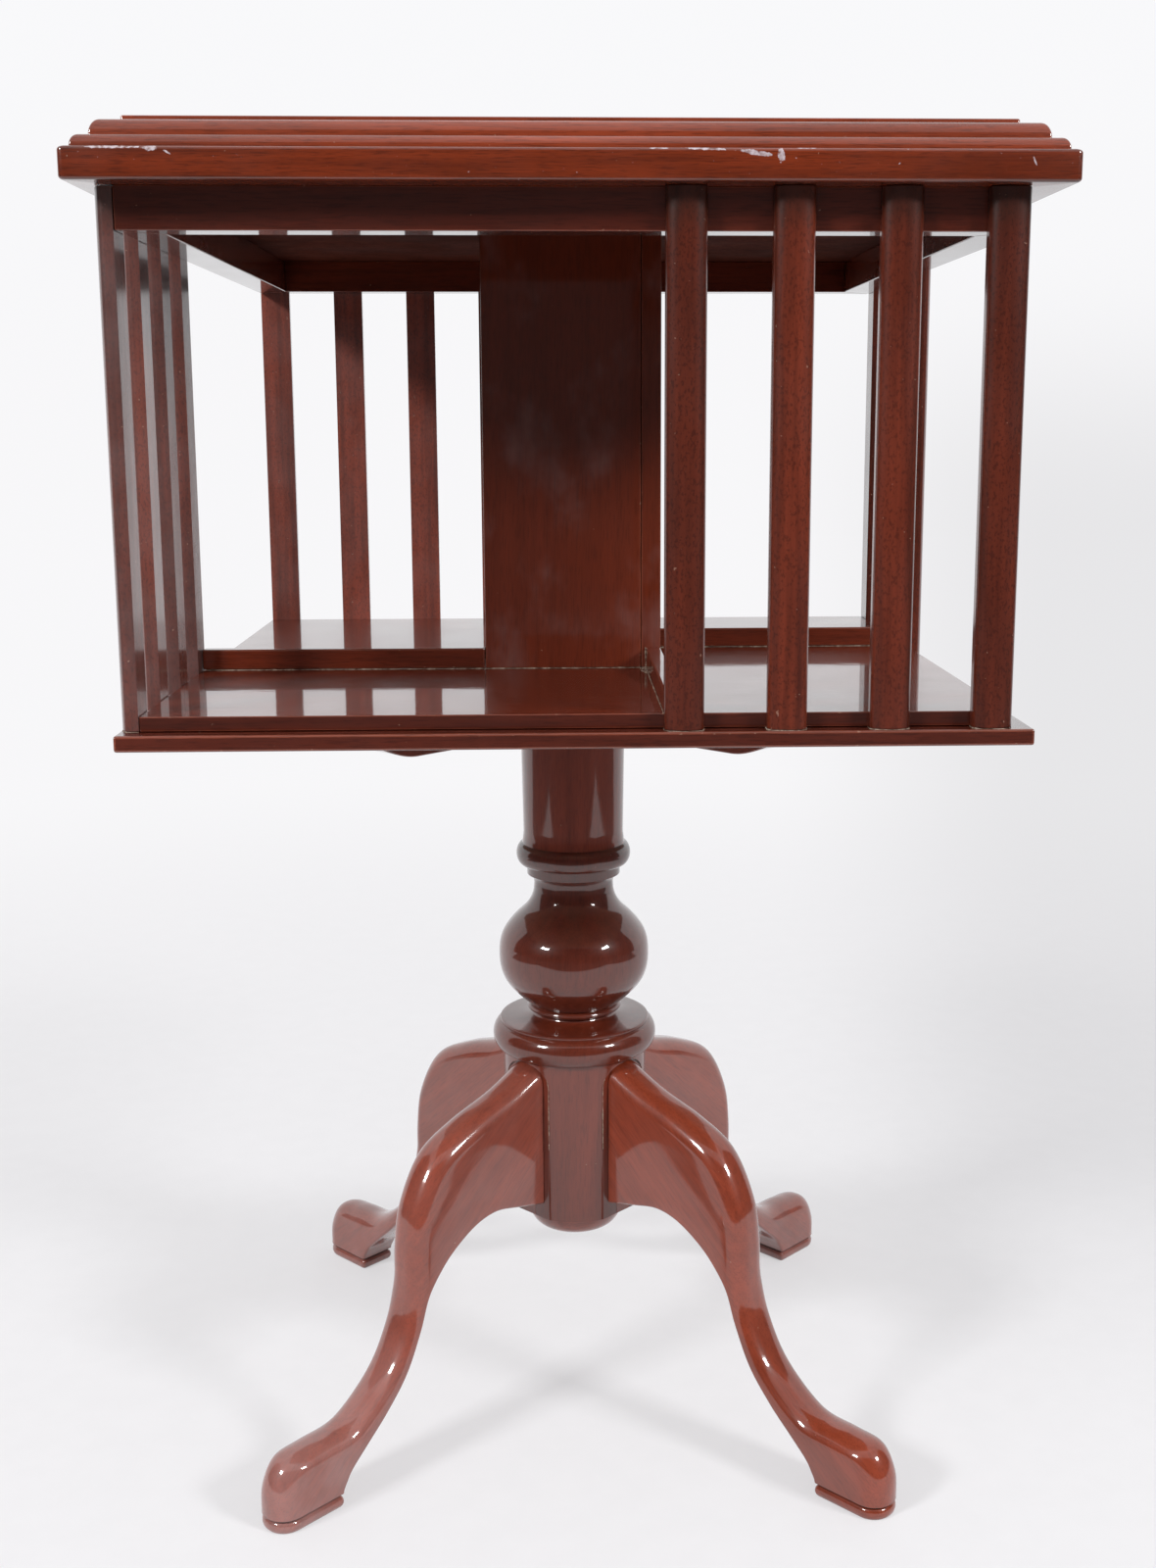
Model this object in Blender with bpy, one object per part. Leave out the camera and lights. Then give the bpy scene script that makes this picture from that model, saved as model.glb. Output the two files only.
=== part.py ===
"""Revolving book table: a slatted square book case that turns on a turned pillar with four cabriole legs.

Metres, +Z up. The origin is on the floor under the pillar's axis, and the front of the table faces -Y.
"""

import math

import bmesh
import bpy

# Fits between the pieces
GAP = 0.0003                 # left between pieces that touch
RUNNING_GAP = 0.0003         # round the spindle where the bush turns on it
BORE_MARGIN = 0.0020         # round the spindle where it only passes through
CUT_OVERRUN = 0.0100         # by which a cutter runs past what it cuts

# Heights of the pillar's turned members, from the floor up
CAP_LIFT = 0.1090            # floor to the underside of the cap
CAP_HEIGHT = 0.0189
BLOCK_HEIGHT = 0.1075        # round block that carries the legs
COLLAR_HEIGHT = 0.0208
COLLAR_RISE = 0.0039         # slope of the collar's upper face
WAIST_HEIGHT = 0.0073
VASE_HEIGHT = 0.0814
NECK_HEIGHT = 0.0064
FILLET_HEIGHT = 0.0061
RING_HEIGHT = 0.0147
SHAFT_HEIGHT = 0.0748

# Radii of the pillar's turned members
CAP_RADIUS = 0.0330
CAP_FLAT_RADIUS = 0.0220
BLOCK_RADIUS = 0.0482
COLLAR_RADIUS = 0.0549
COLLAR_RIM_INSET = 0.0051    # from the collar's widest point in to its rim
WAIST_RADIUS = 0.0275
WAIST_BEAD = 0.0040          # by which the bead under the vase stands out
VASE_RADIUS = 0.0501
NECK_RADIUS = 0.0263
FILLET_RADIUS = 0.0302
RING_RADIUS = 0.0378
SHAFT_RADIUS = 0.0341
SHAFT_TAPER = 0.0011         # by which the shaft thins towards the ring

# Legs
LEG_THICKNESS = 0.0288
LEG_REACH = 0.2201           # from the seat to the toe
LEG_TOP_MARGIN = 0.0017      # from the leg's top up to the collar
LEG_ROUND = 0.0120           # rounding of the leg's upper edges
LEG_EASE = 0.0020            # rounding of its lower edges
FOOT_LENGTH = 0.0480
PAD_HEIGHT = 0.0075
PAD_INSET = 0.0005           # of the pad's widest line from the foot above it
GROOVE_HEIGHT = 0.0016
GROOVE_DEPTH = 0.0015

# Seats and dovetails where the legs join the pillar
SEAT_RADIUS = 0.0445         # from the pillar's axis to the flat seats
SEAT_HALF_WIDTH = 0.0195
SEAT_ARCH = 0.0160           # height of the arched end of a seat
SEAT_ARCH_MARGIN = 0.0012    # from the leg's top up to the arch's crown
TONGUE_DEPTH = 0.0120        # dovetail, from the seat inwards
TONGUE_ROOT_WIDTH = 0.0120
TONGUE_END_WIDTH = 0.0160
TONGUE_TOP_MARGIN = 0.0120   # from the tongue's top up to the leg's top
TONGUE_LAP = 0.0030          # by which the tongue runs into the leg

# Spindle and its bearings
SPINDLE_RADIUS = 0.0080
SPINDLE_DEPTH = 0.1200       # let into the pillar
SPINDLE_CHAMFER = 0.0010
SPINDLE_END_GAP = 0.0020     # from the spindle's end up to the top
PLATE_RADIUS = 0.0320
PLATE_THICKNESS = 0.0020
BUSH_WALL = 0.0035
BUSH_FLANGE = 0.0040
BUSH_FLANGE_THICKNESS = 0.0020
GUIDE_HEIGHT = 0.0200

# Cross bearer under the case
BEARER_DEPTH = 0.0267
BEARER_WIDTH = 0.0300
BEARER_REACH = 0.2050        # from the axis to the end of an arm
BEARER_OGEE = 0.0590         # length of the shaped end
BEARER_TIP = 0.0100          # depth left at the end
SCREW_RADIUS = 0.0022
SCREW_HEAD_RADIUS = 0.0042
SCREW_HEAD_HEIGHT = 0.0030
SCREW_BITE = 0.0060          # depth in the base board
SCREW_POINT = 0.0040         # length of the point
SCREW_DISTANCES = (0.065, 0.125)

# Book case
CASE_WIDTH = 0.4577          # over the frieze and the floor board
BASE_THICKNESS = 0.0088
BASE_LIP = 0.0008            # by which the base stands out past the slats
BASE_EASE = 0.0012
FLOOR_THICKNESS = 0.0078
OPENING_HEIGHT = 0.2450      # from the floor board to the frieze
FRIEZE_HEIGHT = 0.0214
FRIEZE_THICKNESS = 0.0215
BOX_WIDTH = 0.1087
BOX_WALL = 0.0120
STOP_HEIGHT = 0.0125
STOP_THICKNESS = 0.0091
STOP_EASE = 0.0010
SLAT_WIDTH = 0.0210
SLAT_THICKNESS = 0.0103
SLAT_SHOULDER = 0.0048       # thickness at the slat's two edges
SLAT_PITCH = 0.0542
SLATS_PER_SIDE = 4

# Top
TOP_LIP = 0.01055            # by which the top stands out past the slats
TOP_THICKNESS = 0.0158
TOP_EASE = 0.0020
STEP_INSET = 0.0050          # from the top's edge in to the foot of the moulding
STEP_RUN = 0.0038            # width of the small round step
STEP_HEIGHT = 0.0059
OVOLO_INSET = 0.0039
OVOLO_RUN = 0.0050
OVOLO_HEIGHT = 0.0084
CROWN_INSET = 0.0031
CROWN_HEIGHT = 0.0033
CROWN_EASE = 0.0008

# Smoothness of the round forms
LATHE_SIDES = 40
ROD_SIDES = 24
SCREW_SIDES = 12
VASE_STEPS = 3
LEG_STEPS = 2
ROUND_STEPS = 4
SMOOTH_ANGLE = 35            # degrees, above which an edge shows as sharp

# Finishes
MAHOGANY = (0.150, 0.036, 0.018)
STEEL = (0.45, 0.44, 0.42)
WOOD_ROUGHNESS = 0.22
STEEL_ROUGHNESS = 0.38

# The vase's profile: share of its height from the top down, share of its swell from neck to belly
VASE_SHAPE = (
    (0.0, 0.0),
    (0.11, 0.035),
    (0.25, 0.385),
    (0.42, 0.91),
    (0.60, 1.0),
    (0.72, 0.95),
    (0.87, 0.61),
    (1.0, 0.06),
)

# The cabriole outline, as shares of the leg's run and rise.
# The upper line runs from the seat to the toe, the lower line from the seat to the heel.
LEG_SHAPE = (
    (0.000, 1.000, 0.000, 0.574),
    (0.124, 0.947, 0.123, 0.595),
    (0.277, 0.900, 0.239, 0.613),
    (0.400, 0.838, 0.336, 0.602),
    (0.479, 0.712, 0.429, 0.567),
    (0.504, 0.587, 0.510, 0.519),
    (0.510, 0.465, 0.585, 0.447),
    (0.534, 0.371, 0.630, 0.359),
    (0.592, 0.272, 0.699, 0.253),
    (0.673, 0.203, 0.792, 0.169),
    (0.759, 0.163, 0.886, 0.104),
    (0.865, 0.157, 0.958, 0.054),
    (0.951, 0.143, 0.985, 0.024),
    (0.994, 0.077, 0.997, 0.008),
    (1.000, 0.000, 1.000, 0.000),
)

# The pad under a foot: share of its height, share of the groove's depth by which it draws in
PAD_SHAPE = ((1.0, 1.0), (0.85, 0.35), (0.5, 0.0), (0.2, 0.35), (0.0, 1.0))

# Levels of the pillar, worked out from the members' heights
CAP_TOP = CAP_LIFT + CAP_HEIGHT
BLOCK_BOTTOM = CAP_TOP + GAP
BLOCK_TOP = BLOCK_BOTTOM + BLOCK_HEIGHT
COLLAR_TOP = BLOCK_TOP + COLLAR_HEIGHT
WAIST_BOTTOM = COLLAR_TOP + COLLAR_RISE
VASE_BOTTOM = WAIST_BOTTOM + WAIST_HEIGHT
VASE_TOP = VASE_BOTTOM + VASE_HEIGHT
NECK_TOP = VASE_TOP + NECK_HEIGHT
FILLET_TOP = NECK_TOP + FILLET_HEIGHT
RING_TOP = FILLET_TOP + RING_HEIGHT
COLUMN_TOP = RING_TOP + SHAFT_HEIGHT

# Levels of the case, stacked on the pillar
LOWER_PLATE_BOTTOM = COLUMN_TOP + GAP
UPPER_PLATE_BOTTOM = LOWER_PLATE_BOTTOM + PLATE_THICKNESS + GAP
BEARER_BOTTOM = UPPER_PLATE_BOTTOM + PLATE_THICKNESS + GAP
BEARER_TOP = BEARER_BOTTOM + BEARER_DEPTH
BASE_BOTTOM = BEARER_TOP + GAP
BASE_TOP = BASE_BOTTOM + BASE_THICKNESS
FLOOR_BOTTOM = BASE_TOP + GAP
FLOOR_TOP = FLOOR_BOTTOM + FLOOR_THICKNESS
FRIEZE_BOTTOM = FLOOR_TOP + OPENING_HEIGHT
FRIEZE_TOP = FRIEZE_BOTTOM + FRIEZE_HEIGHT
TOP_BOTTOM = FRIEZE_TOP + GAP
MOULDING_BOTTOM = TOP_BOTTOM + TOP_THICKNESS + GAP
GUIDE_BOTTOM = FRIEZE_TOP - GUIDE_HEIGHT

# Plan sizes of the case, and the leg's place
CASE_HALF = CASE_WIDTH / 2
BOX_HALF = BOX_WIDTH / 2
SLAT_FACE = CASE_HALF + GAP + SLAT_THICKNESS
BASE_HALF = SLAT_FACE + BASE_LIP
TOP_HALF = SLAT_FACE + TOP_LIP
LEG_START = SEAT_RADIUS + GAP
LEG_RISE = BLOCK_TOP - LEG_TOP_MARGIN
FOOT_LINE = PAD_HEIGHT + GROOVE_HEIGHT
TONGUE_TOP = LEG_RISE - TONGUE_TOP_MARGIN

SIDES = ("front", "right", "back", "left")
CORNERS = ("front_left", "front_right", "back_right", "back_left")
QUARTER = math.pi / 2
FRONT_LEFT_ANGLE = math.radians(225)


def clear_scene():
    """Remove whatever the scene holds."""
    for existing in list(bpy.data.objects):
        bpy.data.objects.remove(existing, do_unlink=True)


def finish_material(name, colour, roughness, metallic):
    """A plain material with the finish's colour."""
    material = bpy.data.materials.new(name)
    material.use_nodes = True
    shader = material.node_tree.nodes["Principled BSDF"]
    shader.inputs["Base Color"].default_value = (*colour, 1.0)
    shader.inputs["Roughness"].default_value = roughness
    shader.inputs["Metallic"].default_value = metallic
    material.diffuse_color = (*colour, 1.0)
    return material


def add_piece(name, mesh, turn=0.0, place=(0.0, 0.0, 0.0), parent=None, metal=False):
    """Put a mesh in the scene as one named piece with its own material."""
    piece = bpy.data.objects.new(name, mesh)
    bpy.context.scene.collection.objects.link(piece)
    piece.location = place
    piece.rotation_euler = (0.0, 0.0, turn)
    piece.parent = parent
    if metal:
        mesh.materials.append(finish_material(name, STEEL, STEEL_ROUGHNESS, 1.0))
    else:
        mesh.materials.append(finish_material(name, MAHOGANY, WOOD_ROUGHNESS, 0.0))
    return piece


def add_cutter(name, mesh):
    """Put a mesh in the scene as a cutter, which isn't part of the object."""
    cutter = bpy.data.objects.new(name, mesh)
    bpy.context.scene.collection.objects.link(cutter)
    cutter.hide_render = True
    cutter.display_type = "WIRE"
    return cutter


def boolean(piece, other, operation):
    """Cut or join another object into a piece, as a modifier."""
    modifier = piece.modifiers.new(operation.title(), "BOOLEAN")
    modifier.operation = operation
    modifier.solver = "EXACT"
    modifier.object = other


def ease_edges(piece, width):
    """Round a board's sharp arrises."""
    modifier = piece.modifiers.new("Eased arrises", "BEVEL")
    modifier.width = width
    modifier.segments = 2
    modifier.limit_method = "ANGLE"


def mesh_from(name, vertices, faces, smooth=False):
    """A mesh with its faces turned outwards, shaded smooth where it is round."""
    shape = bmesh.new()
    corners = [shape.verts.new(vertex) for vertex in vertices]
    for face in faces:
        shape.faces.new([corners[index] for index in face])
    bmesh.ops.recalc_face_normals(shape, faces=shape.faces)
    mesh = bpy.data.meshes.new(name)
    shape.to_mesh(mesh)
    shape.free()
    if smooth:
        mesh.shade_smooth()
        mesh.set_sharp_from_angle(angle=math.radians(SMOOTH_ANGLE))
    return mesh


def joined(name, meshes):
    """One mesh that holds several separate solids."""
    shape = bmesh.new()
    for mesh in meshes:
        shape.from_mesh(mesh)
    together = bpy.data.meshes.new(name)
    shape.to_mesh(together)
    shape.free()
    return together


def strip_faces(first, second, count):
    """The quads between two rings of vertices."""
    pairs = [(index, (index + 1) % count) for index in range(count)]
    return [(first + a, first + b, second + b, second + a) for a, b in pairs]


def loft(name, sections, smooth=False):
    """A closed solid through sections that have the same number of points."""
    count = len(sections[0])
    starts = [index * count for index in range(len(sections))]
    vertices = [point for section in sections for point in section]
    faces = [tuple(range(count))]
    for first, second in zip(starts, starts[1:]):
        faces += strip_faces(first, second, count)
    faces.append(tuple(range(starts[-1], starts[-1] + count)))
    return mesh_from(name, vertices, faces, smooth)


def circles(profile, sides, centre=(0.0, 0.0)):
    """One circle of points for each radius and height of a profile."""
    turns = [2 * math.pi * side / sides for side in range(sides)]
    return [
        [(centre[0] + r * math.cos(a), centre[1] + r * math.sin(a), z) for a in turns]
        for r, z in profile
    ]


def lathe(name, profile, sides, centre=(0.0, 0.0)):
    """A solid turned about an upright axis from a profile of radius and height."""
    return loft(name, circles(profile, sides, centre), smooth=True)


def sleeve(name, loop, sides):
    """A ring turned about the Z axis from a closed loop of radius and height."""
    rings = circles(loop, sides)
    vertices = [point for ring in rings for point in ring]
    faces = []
    for index in range(len(rings)):
        faces += strip_faces(index * sides, (index + 1) % len(rings) * sides, sides)
    return mesh_from(name, vertices, faces, smooth=True)


def prism(name, outline, bottom, top, smooth=False):
    """An upright solid over a plan outline."""
    return loft(name, [[(x, y, z) for x, y in outline] for z in (bottom, top)], smooth)


def block(name, low, high):
    """A rectangular block between two corners."""
    outline = ((low[0], low[1]), (high[0], low[1]), (high[0], high[1]), (low[0], high[1]))
    return prism(name, outline, low[2], high[2])


def square(half):
    """The corners of a square about the axis."""
    return ((-half, -half), (half, -half), (half, half), (-half, half))


def turned(points, angle):
    """Points turned about the Z axis."""
    cosine = math.cos(angle)
    sine = math.sin(angle)
    return [(x * cosine - y * sine, x * sine + y * cosine, z) for x, y, z in points]


def smooth_line(points, steps):
    """Points along a smooth curve through the given points, with equal steps in each stretch."""
    line = []
    for index in range(len(points) - 1):
        before = points[max(index - 1, 0)]
        after = points[min(index + 2, len(points) - 1)]
        near = (before, points[index], points[index + 1], after)
        for step in range(steps):
            t = step / steps
            weights = (
                -0.5 * t + t * t - 0.5 * t ** 3,
                1.0 - 2.5 * t * t + 1.5 * t ** 3,
                0.5 * t + 2.0 * t * t - 1.5 * t ** 3,
                -0.5 * t * t + 0.5 * t ** 3,
            )
            line.append(tuple(
                sum(weight * point[axis] for weight, point in zip(weights, near))
                for axis in range(len(near[0]))
            ))
    line.append(tuple(points[-1]))
    return line


def round_line(centre, half, start, end, steps):
    """Points along an arc of an ellipse, in degrees from outwards to upwards."""
    angles = [math.radians(start + (end - start) * step / steps) for step in range(steps + 1)]
    return [(centre[0] + half[0] * math.cos(a), centre[1] + half[1] * math.sin(a)) for a in angles]


def ease_in_out(share):
    """A share from 0 to 1 that starts and ends level, as an ogee does."""
    share = min(max(share, 0.0), 1.0)
    return share * share * (3 - 2 * share)


def column_profile():
    """The pillar's turned outline, from its upper end down."""
    core = SHAFT_RADIUS - SHAFT_TAPER
    profile = [(SHAFT_RADIUS, COLUMN_TOP)]
    profile.append((core, RING_TOP + RING_HEIGHT / 2))
    ring_centre = (core, FILLET_TOP + RING_HEIGHT / 2)
    profile += round_line(ring_centre, (RING_RADIUS - core, RING_HEIGHT / 2), 80, -80, 8)
    profile.append((FILLET_RADIUS, FILLET_TOP))
    profile.append((FILLET_RADIUS, NECK_TOP))
    cove = FILLET_RADIUS - NECK_RADIUS
    profile += round_line((NECK_RADIUS + cove, VASE_TOP), (-cove, NECK_HEIGHT), 70, 20, 3)
    swell = VASE_RADIUS - NECK_RADIUS
    vase = [(NECK_RADIUS + swell * out, VASE_TOP - VASE_HEIGHT * down) for down, out in VASE_SHAPE]
    profile += smooth_line(vase, VASE_STEPS)
    bead_centre = (WAIST_RADIUS, VASE_BOTTOM - WAIST_HEIGHT / 2)
    profile += round_line(bead_centre, (WAIST_BEAD, WAIST_HEIGHT / 3), 60, -60, 3)
    profile.append((WAIST_RADIUS, WAIST_BOTTOM))
    rim = COLLAR_RADIUS - COLLAR_RIM_INSET
    profile.append((rim, COLLAR_TOP))
    roll = COLLAR_RADIUS - BLOCK_RADIUS
    roll_centre = (BLOCK_RADIUS, BLOCK_TOP + COLLAR_HEIGHT / 2)
    profile += round_line(roll_centre, (roll, COLLAR_HEIGHT * 0.45), 65, -75, 9)
    profile.append((BLOCK_RADIUS, BLOCK_TOP))
    profile.append((BLOCK_RADIUS, BLOCK_BOTTOM))
    return profile


def seat_cutter():
    """Four arch-topped blocks that cut the flat leg seats into the pillar's round block."""
    spring = LEG_RISE + SEAT_ARCH_MARGIN - SEAT_ARCH
    foot = BLOCK_BOTTOM - CUT_OVERRUN
    outline = [(-SEAT_HALF_WIDTH, foot), (SEAT_HALF_WIDTH, foot)]
    outline += round_line((0.0, spring), (SEAT_HALF_WIDTH, SEAT_ARCH), 0, 180, 12)
    ends = (SEAT_RADIUS, BLOCK_RADIUS + CUT_OVERRUN)
    seats = []
    for corner in range(4):
        angle = FRONT_LEFT_ANGLE + corner * QUARTER
        sections = [turned([(out, across, z) for across, z in outline], angle) for out in ends]
        seats.append(loft("seat", sections))
    return add_cutter("seat_cutter", joined("seat_cutter", seats))


def dovetail(name, side_outline, clearance, angle):
    """A dovetail along a radius: its side outline, widened inwards from the seat."""
    widening = (TONGUE_END_WIDTH - TONGUE_ROOT_WIDTH) / 2 / TONGUE_DEPTH
    cheeks = []
    for sign in (-1, 1):
        half_widths = [TONGUE_ROOT_WIDTH / 2 + widening * (SEAT_RADIUS - r) + clearance for r, _ in side_outline]
        cheek = [(r, sign * half, z) for (r, z), half in zip(side_outline, half_widths)]
        cheeks.append(turned(cheek, angle))
    return loft(name, cheeks)


def socket_cutter():
    """Four dovetail sockets, open at the lower end of the pillar's block."""
    inner = SEAT_RADIUS - TONGUE_DEPTH - GAP
    bottom = BLOCK_BOTTOM - CUT_OVERRUN
    top = TONGUE_TOP + GAP
    outline = ((inner, bottom), (BLOCK_RADIUS, bottom), (BLOCK_RADIUS, top), (inner, top))
    angles = [FRONT_LEFT_ANGLE + corner * QUARTER for corner in range(4)]
    sockets = [dovetail("socket", outline, GAP, angle) for angle in angles]
    return add_cutter("socket_cutter", joined("socket_cutter", sockets))


def rod_cutter(name, radius, bottom, top):
    """A round cutter on the pillar's axis."""
    return add_cutter(name, lathe(name, ((radius, top), (radius, bottom)), ROD_SIDES))


def make_column():
    """The turned pillar with its leg seats, dovetail sockets and spindle bore, and the cap under it."""
    column = add_piece("column", lathe("column", column_profile(), LATHE_SIDES))
    boolean(column, seat_cutter(), "DIFFERENCE")
    boolean(column, socket_cutter(), "DIFFERENCE")
    bore_bottom = COLUMN_TOP - SPINDLE_DEPTH - GAP
    bore = rod_cutter("column_bore", SPINDLE_RADIUS + GAP, bore_bottom, COLUMN_TOP + CUT_OVERRUN)
    boolean(column, bore, "DIFFERENCE")
    cap_half = (CAP_RADIUS - CAP_FLAT_RADIUS, CAP_HEIGHT)
    cap_profile = round_line((CAP_FLAT_RADIUS, CAP_TOP), cap_half, 0, -90, 6)
    add_piece("column_cap", lathe("column_cap", cap_profile, LATHE_SIDES))


def leg_section(lower, upper, half, rounding):
    """One section of a leg: flat sides, a round upper side and eased lower edges."""
    run = upper[0] - lower[0]
    rise = upper[1] - lower[1]
    depth = math.hypot(run, rise)
    round_depth = min(rounding, depth * 0.7)
    ease = min(LEG_EASE, depth * 0.15)
    flank = [(half - ease, 0.0), (half, ease)]
    flank += round_line((half - rounding, depth - round_depth), (rounding, round_depth), 0, 90, ROUND_STEPS)
    outline = flank + [(-across, up) for across, up in reversed(flank)]
    return [
        (lower[0] + run * up / depth, across, lower[1] + rise * up / depth)
        for across, up in outline
    ]


def leg_mesh():
    """A cabriole leg along +X, from its seat to its toe and down through its pad."""
    half = LEG_THICKNESS / 2
    toe_round = half * 0.96
    height = LEG_RISE - FOOT_LINE
    heel_run = LEG_REACH - FOOT_LENGTH
    line = smooth_line(LEG_SHAPE, LEG_STEPS)
    sections = []
    for upper_out, upper_up, lower_out, lower_up in line:
        upper = (LEG_START + LEG_REACH * upper_out, FOOT_LINE + height * upper_up)
        lower = (LEG_START + heel_run * lower_out, FOOT_LINE + height * lower_up)
        towards_toe = ease_in_out((upper_out - 0.6) / 0.3)
        rounding = LEG_ROUND + (toe_round - LEG_ROUND) * towards_toe
        sections.append(leg_section(lower, upper, half, rounding))
    heel = LEG_START + heel_run
    toe = LEG_START + LEG_REACH
    levels = [(FOOT_LINE, GROOVE_DEPTH)]
    levels += [(PAD_HEIGHT * up, PAD_INSET + (GROOVE_DEPTH - PAD_INSET) * draw) for up, draw in PAD_SHAPE]
    for z, inset in levels:
        sections.append(leg_section((heel + inset, z), (toe - inset, z), half - inset, toe_round - inset))
    return loft("leg", sections, smooth=True)


def tongue_outline():
    """The side outline of a leg's dovetail tongue, which fills its socket to the block's lower end."""
    inner = SEAT_RADIUS - TONGUE_DEPTH
    root = FOOT_LINE + (LEG_RISE - FOOT_LINE) * LEG_SHAPE[0][3]
    lapped = LEG_START + TONGUE_LAP
    return (
        (inner, BLOCK_BOTTOM),
        (SEAT_RADIUS, BLOCK_BOTTOM),
        (SEAT_RADIUS, root + TONGUE_LAP),
        (lapped, root + 2 * TONGUE_LAP),
        (lapped, TONGUE_TOP),
        (inner, TONGUE_TOP),
    )


def make_legs():
    """Four legs, each with its dovetail tongue joined on."""
    pattern = leg_mesh()
    for corner, name in enumerate(CORNERS):
        angle = FRONT_LEFT_ANGLE + corner * QUARTER
        leg = add_piece("leg_" + name, pattern.copy(), turn=angle)
        tongue = dovetail("tongue_" + name, tongue_outline(), 0.0, angle)
        boolean(leg, add_cutter("tongue_" + name, tongue), "UNION")


def make_bearings(case):
    """The steel spindle in the pillar, the thrust plates under the case, and the guide at the box's head."""
    end = FRIEZE_TOP - SPINDLE_END_GAP
    spindle_profile = (
        (SPINDLE_RADIUS - SPINDLE_CHAMFER, end),
        (SPINDLE_RADIUS, end - SPINDLE_CHAMFER),
        (SPINDLE_RADIUS, COLUMN_TOP - SPINDLE_DEPTH),
    )
    add_piece("spindle", lathe("spindle", spindle_profile, ROD_SIDES), metal=True)
    inner = SPINDLE_RADIUS + RUNNING_GAP
    plates = (
        ("lower_bearing_plate", LOWER_PLATE_BOTTOM, None),
        ("upper_bearing_plate", UPPER_PLATE_BOTTOM, case),
    )
    for name, bottom, parent in plates:
        top = bottom + PLATE_THICKNESS
        loop = ((PLATE_RADIUS, bottom), (PLATE_RADIUS, top), (inner, top), (inner, bottom))
        add_piece(name, sleeve(name, loop, ROD_SIDES), parent=parent, metal=True)
    outer = inner + BUSH_WALL
    flange = outer + BUSH_FLANGE
    flange_bottom = GUIDE_BOTTOM - GAP - BUSH_FLANGE_THICKNESS
    flange_top = GUIDE_BOTTOM - GAP
    bush_loop = (
        (flange, flange_bottom),
        (flange, flange_top),
        (outer, flange_top),
        (outer, FRIEZE_TOP),
        (inner, FRIEZE_TOP),
        (inner, flange_bottom),
    )
    add_piece("spindle_bush", sleeve("spindle_bush", bush_loop, ROD_SIDES), parent=case, metal=True)
    guide_half = BOX_HALF - BOX_WALL - GAP
    guide = prism("guide_block", square(guide_half), GUIDE_BOTTOM, FRIEZE_TOP)
    guide = add_piece("guide_block", guide, parent=case)
    hole = rod_cutter("guide_hole", outer + GAP, GUIDE_BOTTOM - CUT_OVERRUN, FRIEZE_TOP + CUT_OVERRUN)
    boolean(guide, hole, "DIFFERENCE")


def bearer_outline(notched_above):
    """The side outline of one bearer arm, with its ogee ends and its half of the cross-halving."""
    level = BEARER_REACH - BEARER_OGEE
    lift = BEARER_DEPTH - BEARER_TIP
    notch = BEARER_WIDTH / 2 + GAP
    middle = BEARER_BOTTOM + BEARER_DEPTH / 2
    steps = 2 * ROUND_STEPS
    shares = [step / steps for step in range(steps + 1)]
    ogee = [(level + BEARER_OGEE * share, BEARER_BOTTOM + lift * ease_in_out(share)) for share in shares]
    left = [(-along, z) for along, z in reversed(ogee)]
    upper_edge = [(BEARER_REACH, BEARER_TOP)]
    lower_edge = []
    if notched_above:
        upper_edge += [(notch, BEARER_TOP), (notch, middle), (-notch, middle), (-notch, BEARER_TOP)]
    else:
        shelf = middle + GAP
        lower_edge = [(-notch, BEARER_BOTTOM), (-notch, shelf), (notch, shelf), (notch, BEARER_BOTTOM)]
    upper_edge.append((-BEARER_REACH, BEARER_TOP))
    return left + lower_edge + ogee + upper_edge


def screw_profile(clearance):
    """A countersunk wood screw's outline from its point down to its head, or the hole for it."""
    head = BEARER_BOTTOM + SCREW_HEAD_HEIGHT
    tip = BASE_BOTTOM + SCREW_BITE
    return (
        (SCREW_RADIUS / 4 + clearance, tip + clearance),
        (SCREW_RADIUS + clearance, tip - SCREW_POINT + clearance),
        (SCREW_RADIUS + clearance, head + clearance),
        (SCREW_HEAD_RADIUS + clearance, BEARER_BOTTOM + GAP + clearance),
        (SCREW_HEAD_RADIUS + clearance, BEARER_BOTTOM + GAP - (CUT_OVERRUN if clearance else 0.0)),
    )


def screw_places():
    """Where the bearer's screws stand, two on each half of each arm."""
    angles = [FRONT_LEFT_ANGLE + corner * QUARTER for corner in range(4)]
    return [(out * math.cos(a), out * math.sin(a)) for a in angles for out in SCREW_DISTANCES]


def screw_cutter():
    """The countersunk holes for all the bearer's screws."""
    profile = screw_profile(GAP)
    holes = [lathe("hole", profile, SCREW_SIDES, place) for place in screw_places()]
    return add_cutter("screw_holes", joined("screw_holes", holes))


def make_bearer(case, shaft_hole, screw_holes):
    """Two arms halved across each other under the case, and the screws that hold them to the base."""
    half = BEARER_WIDTH / 2
    for corner, name in enumerate(("bearer_lower_arm", "bearer_upper_arm")):
        outline = bearer_outline(notched_above=corner == 0)
        sections = [[(along, across, z) for along, z in outline] for across in (-half, half)]
        angle = FRONT_LEFT_ANGLE + corner * QUARTER
        arm = add_piece(name, loft(name, sections), turn=angle, parent=case)
        boolean(arm, shaft_hole, "DIFFERENCE")
        boolean(arm, screw_holes, "DIFFERENCE")
    for number, place in enumerate(screw_places(), start=1):
        name = f"bearer_screw_{number}"
        add_piece(name, lathe(name, screw_profile(0.0), SCREW_SIDES, place), parent=case, metal=True)


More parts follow.
